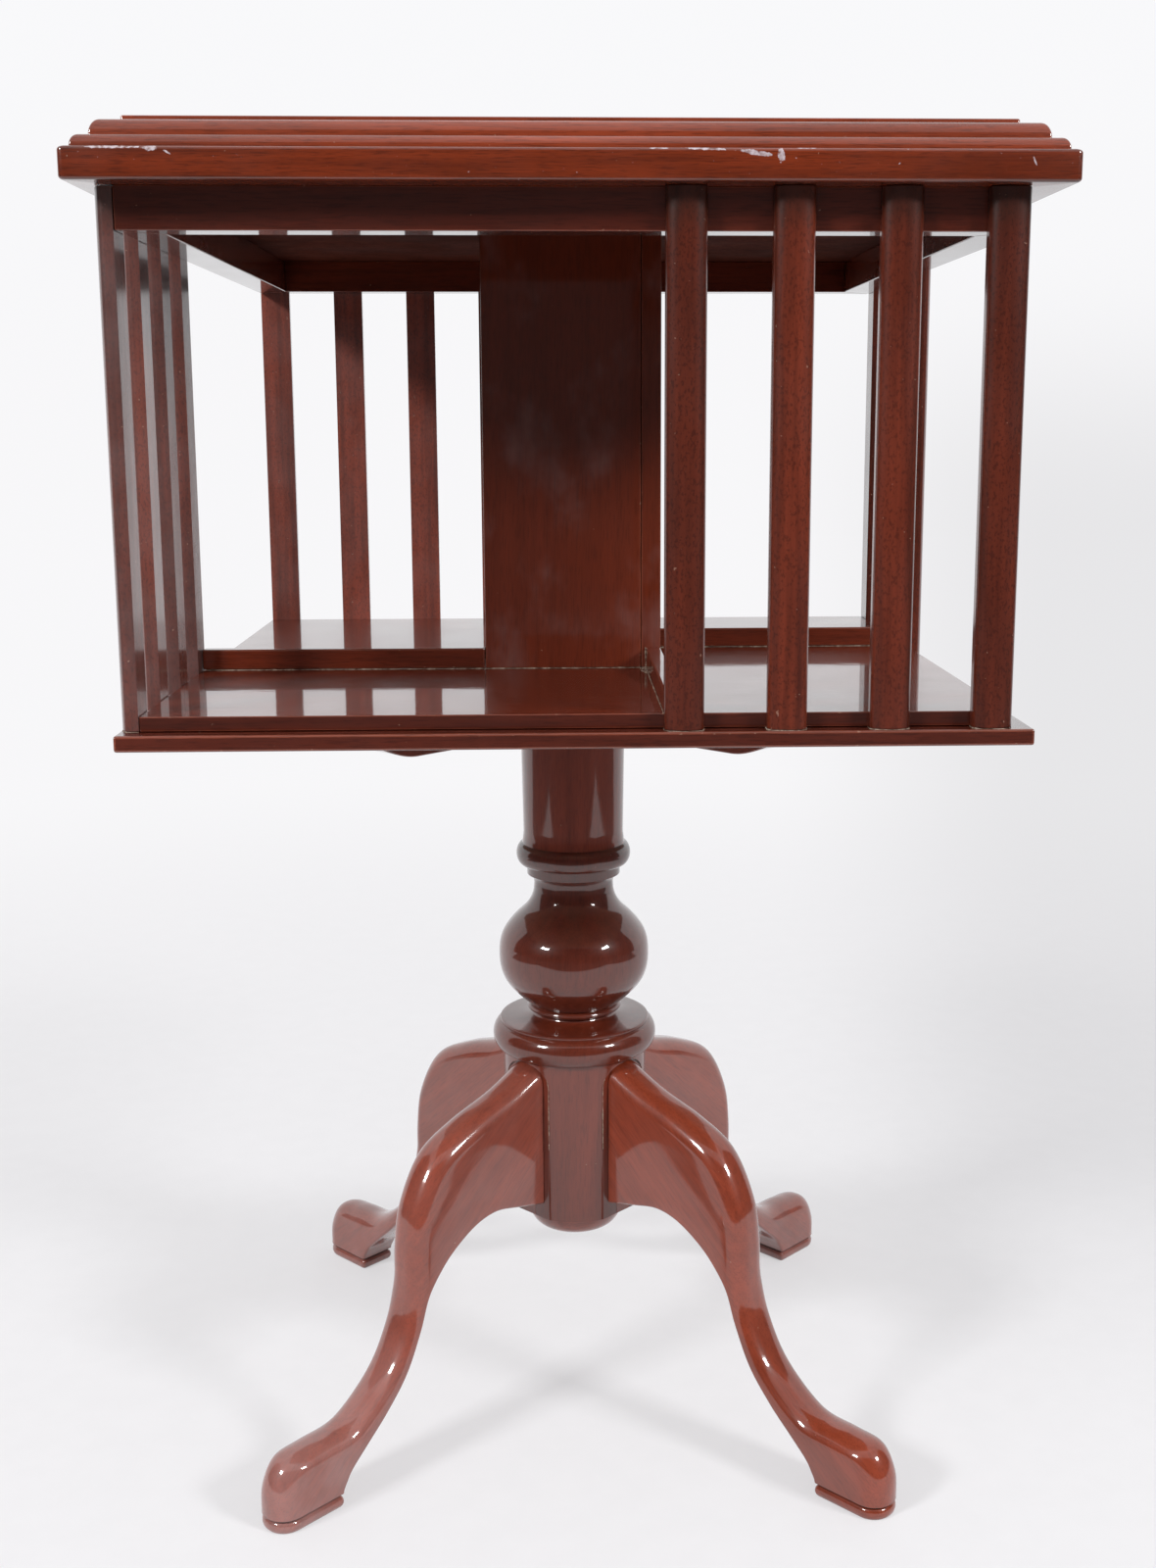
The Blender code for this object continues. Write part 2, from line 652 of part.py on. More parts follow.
def make_boards(case, shaft_hole, screw_holes):
    """The base board under the slats and the floor board on which the books stand."""
    base = add_piece("base_board", prism("base_board", square(BASE_HALF), BASE_BOTTOM, BASE_TOP), parent=case)
    ease_edges(base, BASE_EASE)
    boolean(base, shaft_hole, "DIFFERENCE")
    boolean(base, screw_holes, "DIFFERENCE")
    floor = prism("floor_board", square(CASE_HALF), FLOOR_BOTTOM, FLOOR_TOP)
    boolean(add_piece("floor_board", floor, parent=case), shaft_hole, "DIFFERENCE")


def slat_mesh():
    """An upright slat with a flat back on y = 0 and a rounded front towards -Y."""
    half = SLAT_WIDTH / 2
    bulge = SLAT_THICKNESS - SLAT_SHOULDER
    steps = 2 * ROUND_STEPS + 2
    outline = [(half, 0.0)]
    for step in range(steps + 1):
        angle = math.pi * step / steps
        across = math.copysign(abs(math.cos(angle)) ** 0.8, math.cos(angle))
        outline.append((half * across, -SLAT_SHOULDER - bulge * math.sin(angle) ** 0.8))
    outline.append((-half, 0.0))
    return prism("slat", outline, BASE_TOP + GAP, FRIEZE_TOP, smooth=True)


def make_sides(case):
    """The four sides: each has a box panel, a book stop, a frieze rail and a row of slats, in a pinwheel."""
    panel_low = (-BOX_HALF, -BOX_HALF, FLOOR_TOP + GAP)
    panel_high = (BOX_HALF - BOX_WALL - GAP, BOX_WALL - BOX_HALF, FRIEZE_TOP)
    panel = block("box_panel", panel_low, panel_high)
    stop_low = (BOX_HALF - STOP_THICKNESS, -CASE_HALF, FLOOR_TOP + GAP)
    stop_high = (BOX_HALF, -BOX_HALF - GAP, FLOOR_TOP + GAP + STOP_HEIGHT)
    stop = block("book_stop", stop_low, stop_high)
    mitre_gap = GAP / math.sqrt(2)
    outer = CASE_HALF - mitre_gap
    inner = CASE_HALF - FRIEZE_THICKNESS
    rail_outline = (
        (-outer, -CASE_HALF),
        (outer, -CASE_HALF),
        (inner - mitre_gap, -inner),
        (mitre_gap - inner, -inner),
    )
    rail = prism("frieze_rail", rail_outline, FRIEZE_BOTTOM, FRIEZE_TOP)
    slat = slat_mesh()
    slat_back = -CASE_HALF - GAP
    for index, side in enumerate(SIDES):
        turn = index * QUARTER
        add_piece("box_" + side, panel.copy(), turn=turn, parent=case)
        ease_edges(add_piece("stop_" + side, stop.copy(), turn=turn, parent=case), STOP_EASE)
        add_piece("frieze_" + side, rail.copy(), turn=turn, parent=case)
        for number in range(SLATS_PER_SIDE):
            along = CASE_HALF - SLAT_WIDTH / 2 - (SLATS_PER_SIDE - 1 - number) * SLAT_PITCH
            place = turned([(along, slat_back, 0.0)], turn)[0]
            add_piece(f"slat_{side}_{number + 1}", slat.copy(), turn=turn, place=place, parent=case)


def stacked_squares(name, edge):
    """A square solid whose edge follows a line of half-width and height."""
    return loft(name, [[(x, y, z) for x, y in square(half)] for half, z in edge], smooth=True)


def make_top(case):
    """The top: a plain band with rounded arrises, and over it a board with a stepped, moulded edge."""
    band_inner = TOP_HALF - TOP_EASE
    band_top = TOP_BOTTOM + TOP_THICKNESS
    ease = (TOP_EASE, TOP_EASE)
    band = round_line((band_inner, TOP_BOTTOM + TOP_EASE), ease, -90, 0, 3)
    band += round_line((band_inner, band_top - TOP_EASE), ease, 0, 90, 3)
    add_piece("top_board", stacked_squares("top_board", band), parent=case)
    step = TOP_HALF - STEP_INSET - STEP_RUN
    step_top = MOULDING_BOTTOM + STEP_HEIGHT
    ovolo = step - OVOLO_INSET - OVOLO_RUN
    ovolo_top = step_top + OVOLO_HEIGHT
    crown = ovolo - CROWN_INSET
    crown_top = ovolo_top + CROWN_HEIGHT
    edge = round_line((step, MOULDING_BOTTOM), (STEP_RUN, STEP_HEIGHT), 0, 90, ROUND_STEPS)
    edge += round_line((ovolo, step_top), (OVOLO_RUN, OVOLO_HEIGHT), 0, 90, ROUND_STEPS)
    edge += [(crown, ovolo_top), (crown, crown_top - CROWN_EASE), (crown - CROWN_EASE, crown_top)]
    add_piece("top_moulding", stacked_squares("top_moulding", edge), parent=case)


def make_book_table():
    """The whole table: the pedestal, and the case on a pivot on the pillar's axis."""
    clear_scene()
    case = bpy.data.objects.new("case_pivot", None)
    bpy.context.scene.collection.objects.link(case)
    make_column()
    make_legs()
    make_bearings(case)
    shaft_radius = SPINDLE_RADIUS + BORE_MARGIN
    shaft_hole = rod_cutter("shaft_hole", shaft_radius, BEARER_BOTTOM - CUT_OVERRUN, FLOOR_TOP + CUT_OVERRUN)
    screw_holes = screw_cutter()
    make_bearer(case, shaft_hole, screw_holes)
    make_boards(case, shaft_hole, screw_holes)
    make_sides(case)
    make_top(case)


make_book_table()
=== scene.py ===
# %% [markdown]
# # A revolving book table in polished mahogany
# The table is a square, slatted book case with a moulded top. The case turns on a steel spindle, the
# spindle stands in a turned pillar, and the pillar stands on four cabriole legs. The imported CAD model
# already gives each piece its place and size, in metres, with the front towards -Y. This lesson builds
# each piece again with smooth curves and eased edges, and gives it wood, polish, wear and light.

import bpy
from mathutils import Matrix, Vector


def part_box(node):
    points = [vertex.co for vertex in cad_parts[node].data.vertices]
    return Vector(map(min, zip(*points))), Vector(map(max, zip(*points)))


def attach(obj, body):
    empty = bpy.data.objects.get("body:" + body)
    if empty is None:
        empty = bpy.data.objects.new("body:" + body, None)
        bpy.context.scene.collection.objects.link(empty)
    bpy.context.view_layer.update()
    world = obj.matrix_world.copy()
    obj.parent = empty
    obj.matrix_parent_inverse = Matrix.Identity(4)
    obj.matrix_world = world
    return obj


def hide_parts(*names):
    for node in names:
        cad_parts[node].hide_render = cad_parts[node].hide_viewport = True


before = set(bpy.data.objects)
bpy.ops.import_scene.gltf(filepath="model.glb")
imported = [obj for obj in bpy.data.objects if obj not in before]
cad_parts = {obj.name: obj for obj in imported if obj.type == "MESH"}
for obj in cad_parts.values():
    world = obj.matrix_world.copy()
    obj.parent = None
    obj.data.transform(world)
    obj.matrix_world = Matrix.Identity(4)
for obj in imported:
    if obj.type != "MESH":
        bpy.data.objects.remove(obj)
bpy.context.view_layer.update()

# %% [markdown]
# ## Camera
# A camera can be set by eye, but then the long straight edges never quite agree. This view was worked out
# from the straight edges of the case in the photograph: a camera a little over a metre in front of the
# table and lower than its top, looking slightly down. The photograph isn't quite centred on the lens's
# axis, so a small shift is set on the camera as well.

# %% Place the camera
import math

import bmesh
import bpy
import numpy as np
from mathutils import Matrix, Vector

CAMERA_PLACE = (-0.0136, -1.1514, 0.6528)
CAMERA_RIGHT = (0.99935, -0.03587, -0.00180)
CAMERA_UP = (0.00830, 0.18206, 0.98325)
CAMERA_BACK = (-0.03495, -0.98263, 0.18224)
FOCAL_LENGTH, SENSOR_WIDTH = 40.82, 36.0
SHIFT_X, SHIFT_Y = -0.0231, -0.0232

scene = bpy.context.scene


def new_object(name, data):
    """A new object in the scene."""
    made = bpy.data.objects.new(name, data)
    scene.collection.objects.link(made)
    return made


lens = bpy.data.cameras.new("camera")
lens.lens, lens.sensor_width = FOCAL_LENGTH, SENSOR_WIDTH
lens.shift_x, lens.shift_y = SHIFT_X, SHIFT_Y
camera = new_object("camera", lens)
aim = Matrix((CAMERA_RIGHT, CAMERA_UP, CAMERA_BACK)).transposed().to_4x4()
camera.matrix_world = Matrix.Translation(CAMERA_PLACE) @ aim
scene.camera = camera
scene.view_settings.view_transform = "Standard"
print("camera", round(Vector(CAMERA_PLACE).length, 3), "m from the floor under the pillar")

# %% [markdown]
# ## Nodes by script
# Nodes can be laid out by hand in Blender's editor, but a script can repeat them and change them all at
# once. Shader trees and geometry trees are wired in the same way. A small class holds a tree and adds
# nodes to it: it sets their options, and fills their inputs with plain values or with the outputs of
# other nodes.

# %% A class that adds and wires nodes
class Wiring:
    """A node tree, with short ways to add nodes and wire them."""

    def __init__(self, tree):
        self.tree = tree

    def fill(self, node, inputs):
        """Fill a node's inputs with values, outputs, or other nodes' first outputs."""
        for socket, value in inputs.items():
            if isinstance(value, bpy.types.Node):
                value = value.outputs[0]
            if isinstance(value, bpy.types.NodeSocket):
                self.tree.links.new(value, node.inputs[socket])
            else:
                node.inputs[socket].default_value = value

    def add(self, kind, inputs=None, **options):
        """Add a node, set its options and fill its inputs."""
        made = self.tree.nodes.new(kind)
        for option, value in options.items():
            setattr(made, option, value)
        self.fill(made, inputs or {})
        return made

    def maths(self, operation, first, second=0.0, third=0.0):
        """The result of a sum on up to three values."""
        return self.add("ShaderNodeMath", {0: first, 1: second, 2: third}, operation=operation).outputs[0]

    def spread(self, value, low, high, new_low=0.0, new_high=1.0):
        """A value moved softly from one range to another, held at the ends."""
        inputs = {"Value": value, "From Min": low, "From Max": high, "To Min": new_low, "To Max": new_high}
        return self.add("ShaderNodeMapRange", inputs, interpolation_type="SMOOTHSTEP").outputs["Result"]

    def blend(self, share, first, second, way="MIX"):
        """Two colours mixed by a share."""
        inputs = {0: share, 6: first, 7: second}
        return self.add("ShaderNodeMix", inputs, data_type="RGBA", blend_type=way).outputs[2]

    def place(self):
        """Where a point lies, in metres."""
        return self.add("ShaderNodeTexCoord").outputs["Object"]

    def parts(self, vector):
        """A vector's X, Y and Z."""
        return self.add("ShaderNodeSeparateXYZ", {0: vector}).outputs

    def stored(self, name, outlet):
        """A value that the piece's mesh carries."""
        return self.add("ShaderNodeAttribute", attribute_name=name).outputs[outlet]

    def noise(self, place, per_metre, stretch, detail, roughness=0.55):
        """Noise with so many features a metre across the grain, drawn out along it."""
        scale = (per_metre, per_metre, per_metre / stretch)
        drawn = self.add("ShaderNodeMapping", {"Vector": place, "Scale": scale})
        inputs = {"Vector": drawn, "Scale": 1.0, "Detail": detail, "Roughness": roughness}
        return self.add("ShaderNodeTexNoise", inputs).outputs["Fac"]


def new_finish(name):
    """A new material, its wiring and its shader."""
    material = bpy.data.materials.new(name)
    material.use_nodes = True
    return material, Wiring(material.node_tree), material.node_tree.nodes["Principled BSDF"]


print("wiring ready")

# %% [markdown]
# ## Mahogany
# Mahogany is red-brown, with darker streaks along the grain, broad ribbons where the fibres lean to and
# fro, and short dark pores. A picture of veneer would repeat and stretch, so each pattern here is noise
# drawn out along the plank. The noise can't follow the world's axes, because the planks run in all
# directions, so every piece carries an attribute called grain: two coordinates across the plank and one
# along it.

# %% The colour of the wood
def shaded(colour, level):
    """A colour made lighter or darker, as a shader takes it."""
    return (*(value * level for value in colour), 1.0)


def wood_colour(wires, grain, body, contrast, flecks):
    """Streaks and ribbons about a body colour, dark pores, and slow changes of tone."""
    streaks = wires.noise(grain, 230, 24, 5)
    ribbons = wires.noise(grain, 46, 26, 3)
    figure = wires.maths("MULTIPLY_ADD", streaks, 0.55, wires.maths("MULTIPLY", ribbons, 0.45))
    ramp = wires.add("ShaderNodeValToRGB", {"Fac": figure})
    dark, light = ramp.color_ramp.elements
    dark.position, dark.color = 0.36, shaded(body, 1.0 - contrast)
    light.position, light.color = 0.66, shaded(body, 1.0 + contrast)
    ramp.color_ramp.elements.new(0.50).color = shaded(body, 1.0)
    pores = wires.spread(wires.noise(grain, *flecks, 2), 0.49, 0.66, 0.0, min(0.15 + contrast, 0.55))
    porous = wires.blend(pores, ramp, shaded(body, 0.35))
    change = contrast / 2
    tone = wires.spread(wires.noise(grain, 9, 2.5, 2), 0.3, 0.7, 1.0 - change, 1.0 + change)
    grey = wires.add("ShaderNodeCombineColor", {0: tone, 1: tone, 2: tone})
    return wires.blend(1.0, porous, grey, "MULTIPLY"), streaks, pores


print("wood colour ready")

# %% [markdown]
# ## Marks of use, and painted light and shade
# An old polish shows its years: tiny pale nicks, ragged scuffs where an edge was knocked, and pale smears.
# Other masks paint light and shade into the colour: painted shade along the feet's groove and under the
# top, and a pale, cloudy painted sheen that stands in for glare and the bright floor's reflection. Each
# mark could be painted on an image. Here each is a mask in the shader that mixes the mark's colour into
# the wood, so it needs no image, and a finish switches on only the marks it has. Where a mark belongs to
# some faces only, such as the painted sheen on a foot, the piece stores its amount there.

# %% Masks for the marks
NICK_COLOUR = (0.30, 0.17, 0.12, 1.0)
SMEAR_AND_SHEEN_COLOUR = (0.62, 0.55, 0.56, 1.0)
PAINTED_SHADE_COLOUR = (0.020, 0.008, 0.005, 1.0)
SCUFF_COLOURS = ((0.20, 0.11, 0.10, 1.0), (0.48, 0.41, 0.44, 1.0))


def scuff_mask(wires, place, scuffs, ragged):
    """Where the finish is gone: ragged patches, each with a centre, half sizes and a turn about Y."""
    mask = 0.0
    for centre, half, tilt in scuffs:
        turn = (0.0, math.radians(tilt), 0.0)
        inputs = {"Vector": place, "Location": centre, "Rotation": turn, "Scale": half}
        patch = wires.add("ShaderNodeMapping", inputs, vector_type="TEXTURE")
        fade = wires.add("ShaderNodeTexGradient", {"Vector": patch}, gradient_type="SPHERICAL").outputs["Fac"]
        mask = wires.maths("MAXIMUM", mask, fade)
    rough_edge = wires.maths("MULTIPLY", wires.maths("SUBTRACT", ragged, 0.5), 1.5)
    return wires.spread(wires.maths("ADD", mask, rough_edge), 0.28, 0.42)


def marked(
    wires, place, colour,
    nicks=0.76, scuffs=(), groove=None, toned=False, bloomed=False, painted_shade=None, smears=0.0,
):
    """A finish's colour with its marks, its painted light and shade, and where scuffs have bared it."""
    bare = None
    # Painted light and shade: the tone each face stores, partly the wood's own tone, lightens or darkens it.
    if toned:
        colour = wires.blend(1.0, colour, wires.stored("tone", "Color"), "MULTIPLY")
    specks = wires.spread(wires.noise(place, 330, 1, 2), nicks, nicks + 0.03, 0.0, 0.6)
    colour = wires.blend(specks, colour, NICK_COLOUR)
    if scuffs:
        ragged = wires.noise(place, 420, 1, 4)
        bare = scuff_mask(wires, place, scuffs, ragged)
        pale = wires.blend(wires.spread(ragged, 0.35, 0.65), *SCUFF_COLOURS)
        colour = wires.blend(bare, colour, pale)
    # Painted shade: a thin dark line along the feet's groove.
    if groove is not None:
        off = wires.maths("ABSOLUTE", wires.maths("SUBTRACT", wires.parts(place)["Z"], groove))
        colour = wires.blend(wires.spread(off, 0.0006, 0.0014, 0.85, 0.0), colour, PAINTED_SHADE_COLOUR)
    if smears:
        smeared = wires.spread(wires.noise(place, 17, 1.6, 4, 0.6), 0.50, 0.72, 0.0, smears)
        colour = wires.blend(smeared, colour, SMEAR_AND_SHEEN_COLOUR)
    # Painted shade: darker towards the top, for the shadow under the top's overhang.
    if painted_shade is not None:
        colour = wires.blend(wires.spread(wires.parts(place)["Z"], *painted_shade, 0.0, 0.62), colour, PAINTED_SHADE_COLOUR)
    # Painted sheen: a pale, cloudy haze that stands in for glare and the bright floor's reflection.
    if bloomed:
        cloudy = wires.spread(wires.noise(place, 34, 1, 3), 0.3, 0.7, 0.7, 1.3)
        bloom = wires.maths("MULTIPLY", wires.stored("bloom", "Fac"), cloudy)
        colour = wires.blend(bloom, colour, SMEAR_AND_SHEEN_COLOUR)
    return colour, bare


print("masks ready: nicks, scuffs, grooves, smears, grime, bloom")

# %% [markdown]
# ## Polish
# Polish is a clear, hard layer over wood that is itself a little rough. One glossy surface would look
# like plastic, so the polish is the shader's clear coat. The pores make a slight relief in the wood, and
# a faint ripple in the coat keeps the reflections from looking like glass.

# %% Mahogany, from wood to polish
POLISHED_ROUGHNESS, RAW_ROUGHNESS, COAT_IOR = (0.33, 0.43), (0.80, 0.95), 1.65


def mahogany(name, body, contrast, flecks=(1300, 15), polished=True, coat_roughness=0.05, **marks):
    """Mahogany under clear polish, or bare, with the marks of use that are given."""
    material, wires, shader = new_finish(name)
    place = wires.place()
    grain = wires.stored("grain", "Vector") if polished else place
    colour, streaks, pores = wood_colour(wires, grain, body, contrast, flecks)
    colour, bare = marked(wires, place, colour, **marks)
    roughness = POLISHED_ROUGHNESS if polished else RAW_ROUGHNESS
    dull = wires.spread(wires.noise(place, 24, 1, 4), 0.35, 0.70, *roughness)
    if bare is not None:
        dull = wires.maths("MAXIMUM", dull, wires.maths("MULTIPLY", bare, 0.7))
    relief = wires.maths("MULTIPLY_ADD", streaks, 0.4, wires.maths("MULTIPLY", pores, -0.6))
    ripple = wires.maths("MULTIPLY_ADD", streaks, 0.15, wires.noise(grain, 95, 3, 2))
    wires.fill(shader, {
        "Base Color": colour,
        "Roughness": dull,
        "Normal": wires.add("ShaderNodeBump", {"Height": relief, "Strength": 0.25, "Distance": 0.0002}),
        "Coat Normal": wires.add("ShaderNodeBump", {"Height": ripple, "Strength": 0.10, "Distance": 0.0006}),
        "Specular IOR Level": 0.15 if polished else 0.02,
        "Coat Weight": 1.0 if polished else 0.0,
        "Coat Roughness": coat_roughness,
        "Coat IOR": COAT_IOR,
    })
    material.diffuse_color = shaded(body, 1.0)
    return material


print("mahogany ready")

# %% [markdown]
# ## One timber, several tones
# Every piece is mahogany, but each has a tone of its own. The top is the most orange, the box and boards
# are browner, the base is dark, and the legs are the reddest. Some tones are painted light and shade: the
# frieze is dark as painted shade under the top's overhang, and the moulding is paler than the band as
# painted light from above. One function makes all of these finishes, and each call gives only what
# differs. The band's upper edge has lost its polish in two places at the front, which shows as pale,
# ragged scuffs. Faces that nobody sees, such as the underside of the base, were never polished.

# %% The finishes
BAND_SCUFFS = (
    ((-0.2240, -0.250, 0.7816), (0.0200, 0.006, 0.0009), 0.0),
    ((-0.2050, -0.250, 0.7813), (0.0060, 0.006, 0.0019), 0.0),
    ((-0.1970, -0.250, 0.7794), (0.0032, 0.006, 0.0006), 28.0),
    ((0.0640, -0.250, 0.7817), (0.0140, 0.006, 0.0009), 2.0),
    ((0.0880, -0.250, 0.7798), (0.0130, 0.006, 0.0017), 8.0),
    ((0.1004, -0.250, 0.7790), (0.0026, 0.006, 0.0048), -12.0),
    ((0.1130, -0.250, 0.7826), (0.0110, 0.006, 0.0008), 0.0),
    ((0.0410, -0.250, 0.7820), (0.0070, 0.006, 0.0007), 0.0),
    ((0.2255, -0.250, 0.7766), (0.0007, 0.006, 0.0038), -24.0),
)
# The slats' marks: painted shade under the top's overhang, a painted sheen, and tones partly painted light.
SLAT_MARKS = {"nicks": 0.73, "toned": True, "bloomed": True, "painted_shade": (0.7400, 0.7600)}
SLAT_FLECKS = (800, 1.7)
GROOVE_LEVEL = 0.0083
top_wood = mahogany("mahogany_top", (0.134, 0.0182, 0.0035), 0.40, scuffs=BAND_SCUFFS)
# Painted light: the moulding is paler than the band, for the stronger light on its upward faces.
moulding_painted_light_wood = mahogany("mahogany_moulding_painted_light", (0.195, 0.0300, 0.0085), 0.34)
case_wood = mahogany("mahogany_case", (0.122, 0.0180, 0.0058), 0.26)
box_wood = mahogany("mahogany_box", (0.116, 0.0172, 0.0055), 0.13, smears=0.07)
# Painted shade: the frieze is dark, for the shadow under the top's overhang.
frieze_painted_shade_wood = mahogany("mahogany_frieze_painted_shade", (0.066, 0.0106, 0.0048), 0.26)
base_wood = mahogany("mahogany_base", (0.068, 0.0105, 0.0045), 0.26)
slat_wood = mahogany(
    "mahogany_slats", (0.098, 0.0155, 0.0060), 0.46, flecks=SLAT_FLECKS, coat_roughness=0.14, **SLAT_MARKS
)
# The pillar's stored tone is painted light and shade.
pillar_wood = mahogany("mahogany_pillar", (0.130, 0.0215, 0.0095), 0.18, coat_roughness=0.06, toned=True)
# The legs' finish paints shade along the feet's groove and a pale painted sheen on the feet.
leg_wood = mahogany(
    "mahogany_legs", (0.208, 0.0350, 0.0145), 0.18, coat_roughness=0.08, groove=GROOVE_LEVEL, bloomed=True
)
rubbed_wood = mahogany("mahogany_rubbed_edges", (0.150, 0.0340, 0.0170), 0.35, nicks=0.68)
raw_wood = mahogany("mahogany_unpolished", (0.075, 0.0180, 0.0100), 0.30, polished=False)
under_wood = mahogany("mahogany_underside", (0.300, 0.1900, 0.1450), 0.20, polished=False)
print("finishes:", [material.name for material in bpy.data.materials if material.name.startswith("mahogany")])

# %% [markdown]
# ## From points to a finished piece
# A piece starts as points and faces. Doubles are merged and the faces are turned outwards before anything
# else. Modifiers such as the bevel are settled into the mesh, and only then is the grain laid, so that
# every face corner knows its place in the plank. Last, the piece takes the place of its CAD nodes and
# rides on their body.

# %% Helpers that make a piece
MERGE_DISTANCE = 1e-6


def outward(shape, mesh):
    """Merge a shape's doubles, turn its faces outwards, and write it to a mesh."""
    bmesh.ops.remove_doubles(shape, verts=shape.verts, dist=MERGE_DISTANCE)
    bmesh.ops.recalc_face_normals(shape, faces=shape.faces)
    shape.to_mesh(mesh)
    shape.free()


def add_piece(name, points, faces, *materials):
    """One mesh piece from points and faces."""
    shape = bmesh.new()
    corners = [shape.verts.new(point) for point in points]
    for face in faces:
        shape.faces.new([corners[index] for index in face])
    mesh = bpy.data.meshes.new(name)
    outward(shape, mesh)
    for material in materials:
        mesh.materials.append(material)
    return new_object(name, mesh)


def settle(piece):
    """Turn a piece's modifiers into plain mesh."""
    graph = bpy.context.evaluated_depsgraph_get()
    mesh = bpy.data.meshes.new_from_object(piece.evaluated_get(graph))
    piece.modifiers.clear()
    piece.data = mesh
    mesh.name = piece.name


def seat(piece, body, *nodes, slot="mahogany"):
    """Let a piece stand for CAD nodes and ride on their body."""
    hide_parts(*nodes)
    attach(piece, body)
    print(f"{piece.name}: {len(piece.data.polygons)} faces, for {len(nodes)} CAD nodes on the {body}")


print("piece helpers ready")

# %% Helpers that finish a surface
UPRIGHT, ALONG_X, ALONG_Y = (0.0, 0.0, 1.0), (1.0, 0.0, 0.0), (0.0, 1.0, 0.0)
PLANK_STEP = np.array((1.37, 2.11, 0.83), np.float32)


def shade(piece, crisp):
    """Smooth shading, with edges that turn by more than an angle left crisp."""
    piece.data.shade_smooth()
    piece.data.set_sharp_from_angle(angle=math.radians(crisp))


def lay_grain(piece, along, plank):
    """Store each face corner's place in its plank: two coordinates across the grain, and one along it.

    along is a direction, or a function that gives one for a face.
    Each plank number is another piece of timber.
    """
    mesh = piece.data
    values = np.zeros((len(mesh.loops), 3), np.float32)
    for face in mesh.polygons:
        length = Vector(along(face) if callable(along) else along).normalized()
        across = Vector(UPRIGHT if abs(length.z) < 0.6 else ALONG_X)
        across = (across - length * across.dot(length)).normalized()
        flat = length.cross(across)
        for loop in face.loop_indices:
            point = mesh.vertices[mesh.loops[loop].vertex_index].co
            values[loop] = (point.dot(across), point.dot(flat), point.dot(length))
    values += PLANK_STEP * plank
    mesh.attributes.new("grain", "FLOAT_VECTOR", "CORNER").data.foreach_set("vector", values.ravel())


def mark_faces(piece, name, amount):
    """Store a number on each face, for a finish that changes over the piece."""
    store = piece.data.attributes.new(name, "FLOAT", "FACE")
    store.data.foreach_set("value", [amount(face.center) for face in piece.data.polygons])


print("surface helpers ready")

# %% [markdown]
# ## Turned pillar
# A turner cuts the pillar from one post: a plain shaft, a ring, a vase, a collar, and a round block for
# the legs. A Screw modifier could spin it, but its shape follows one rule, a radius for each height, and
# other turned pieces follow the same rule. So it is made as a geometry tree: a line up the axis becomes a
# curve, and a circle is swept along it, scaled at each point by the radius stored there. The shaft and
# the block get more points than a straight line needs, because smooth shading spreads the turn of a
# corner over the whole face beside it, and on a long face that bends the reflections.

# %% Curves for profiles
NEARLY_STRAIGHT, EASE_SHARE = math.radians(155), 0.4


def smooth_line(points, steps):
    """Points along a smooth curve through given points."""
    line = []
    for index in range(len(points) - 1):
        near = [points[min(max(index + offset, 0), len(points) - 1)] for offset in (-1, 0, 1, 2)]
        for step in range(steps):
            t = step / steps
            weights = (
                -0.5 * t + t * t - 0.5 * t ** 3,
                1.0 - 2.5 * t * t + 1.5 * t ** 3,
                0.5 * t + 2.0 * t * t - 1.5 * t ** 3,
                -0.5 * t * t + 0.5 * t ** 3,
            )
            line.append(tuple(sum(w * value for w, value in zip(weights, axis)) for axis in zip(*near)))
    return line + [tuple(points[-1])]


def arc(centre, half, start, end, steps):
    """Points along an arc of an ellipse, in degrees from outwards to upwards."""
    angles = [math.radians(start + (end - start) * step / steps) for step in range(steps + 1)]
    return [(centre[0] + half[0] * math.cos(a), centre[1] + half[1] * math.sin(a)) for a in angles]


def eased_line(points, radius):
    """A line whose sharp corners are rounded off a little, as sandpaper leaves them."""
    line = [points[0]]
    for before, corner, after in zip(points, points[1:], points[2:]):
        back = Vector(before) - Vector(corner)
        on = Vector(after) - Vector(corner)
        if back.angle(on, math.pi) > NEARLY_STRAIGHT:
            line.append(corner)
            continue
        start = Vector(corner) + back.normalized() * min(radius, back.length * EASE_SHARE)
        end = Vector(corner) + on.normalized() * min(radius, on.length * EASE_SHARE)
        middle = (start + end) / 4 + Vector(corner) / 2
        line += [tuple(start), tuple(middle), tuple(end)]
    return line + [points[-1]]


print("curve helpers ready")

# %% The turner's profile
RING_TOP, FILLET_TOP, NECK_TOP, VASE_TOP, VASE_BOTTOM = 0.3768, 0.3620, 0.3555, 0.3491, 0.2677
WAIST_BOTTOM, COLLAR_TOP, BLOCK_TOP = 0.2604, 0.2565, 0.2357
SHAFT_RADIUS, SHAFT_CORE, RING_RADIUS, FILLET_RADIUS, NECK_RADIUS = 0.0341, 0.0330, 0.0379, 0.0310, 0.0263
WAIST_RADIUS, WAIST_BEAD, COLLAR_RIM, COLLAR_RADIUS, BLOCK_RADIUS = 0.0275, 0.0040, 0.0498, 0.0549, 0.0482
COLLAR_FILLET, COLLAR_QUIRK, QUIRK_ABOVE, QUIRK_BELOW = 0.0014, 0.0488, 0.0008, 0.0004
VASE_RADII = (
    0.0263, 0.0268, 0.0287, 0.0325, 0.0383, 0.0432, 0.0469, 0.0490,
    0.0499, 0.0501, 0.0498, 0.0487, 0.0465, 0.0427, 0.0373, 0.0312,
)
COLLAR_SWEEP = [(0.0285, 0.2592), (0.0315, 0.2581), (0.0380, 0.2572), (COLLAR_RIM, COLLAR_TOP)]
SHAFT_SHARES, BLOCK_MARGIN, TURNED_EASE = (0.0, 0.3, 0.6, 0.9, 0.97, 1.0), 0.003, 0.0006

pillar_low, pillar_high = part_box("column")


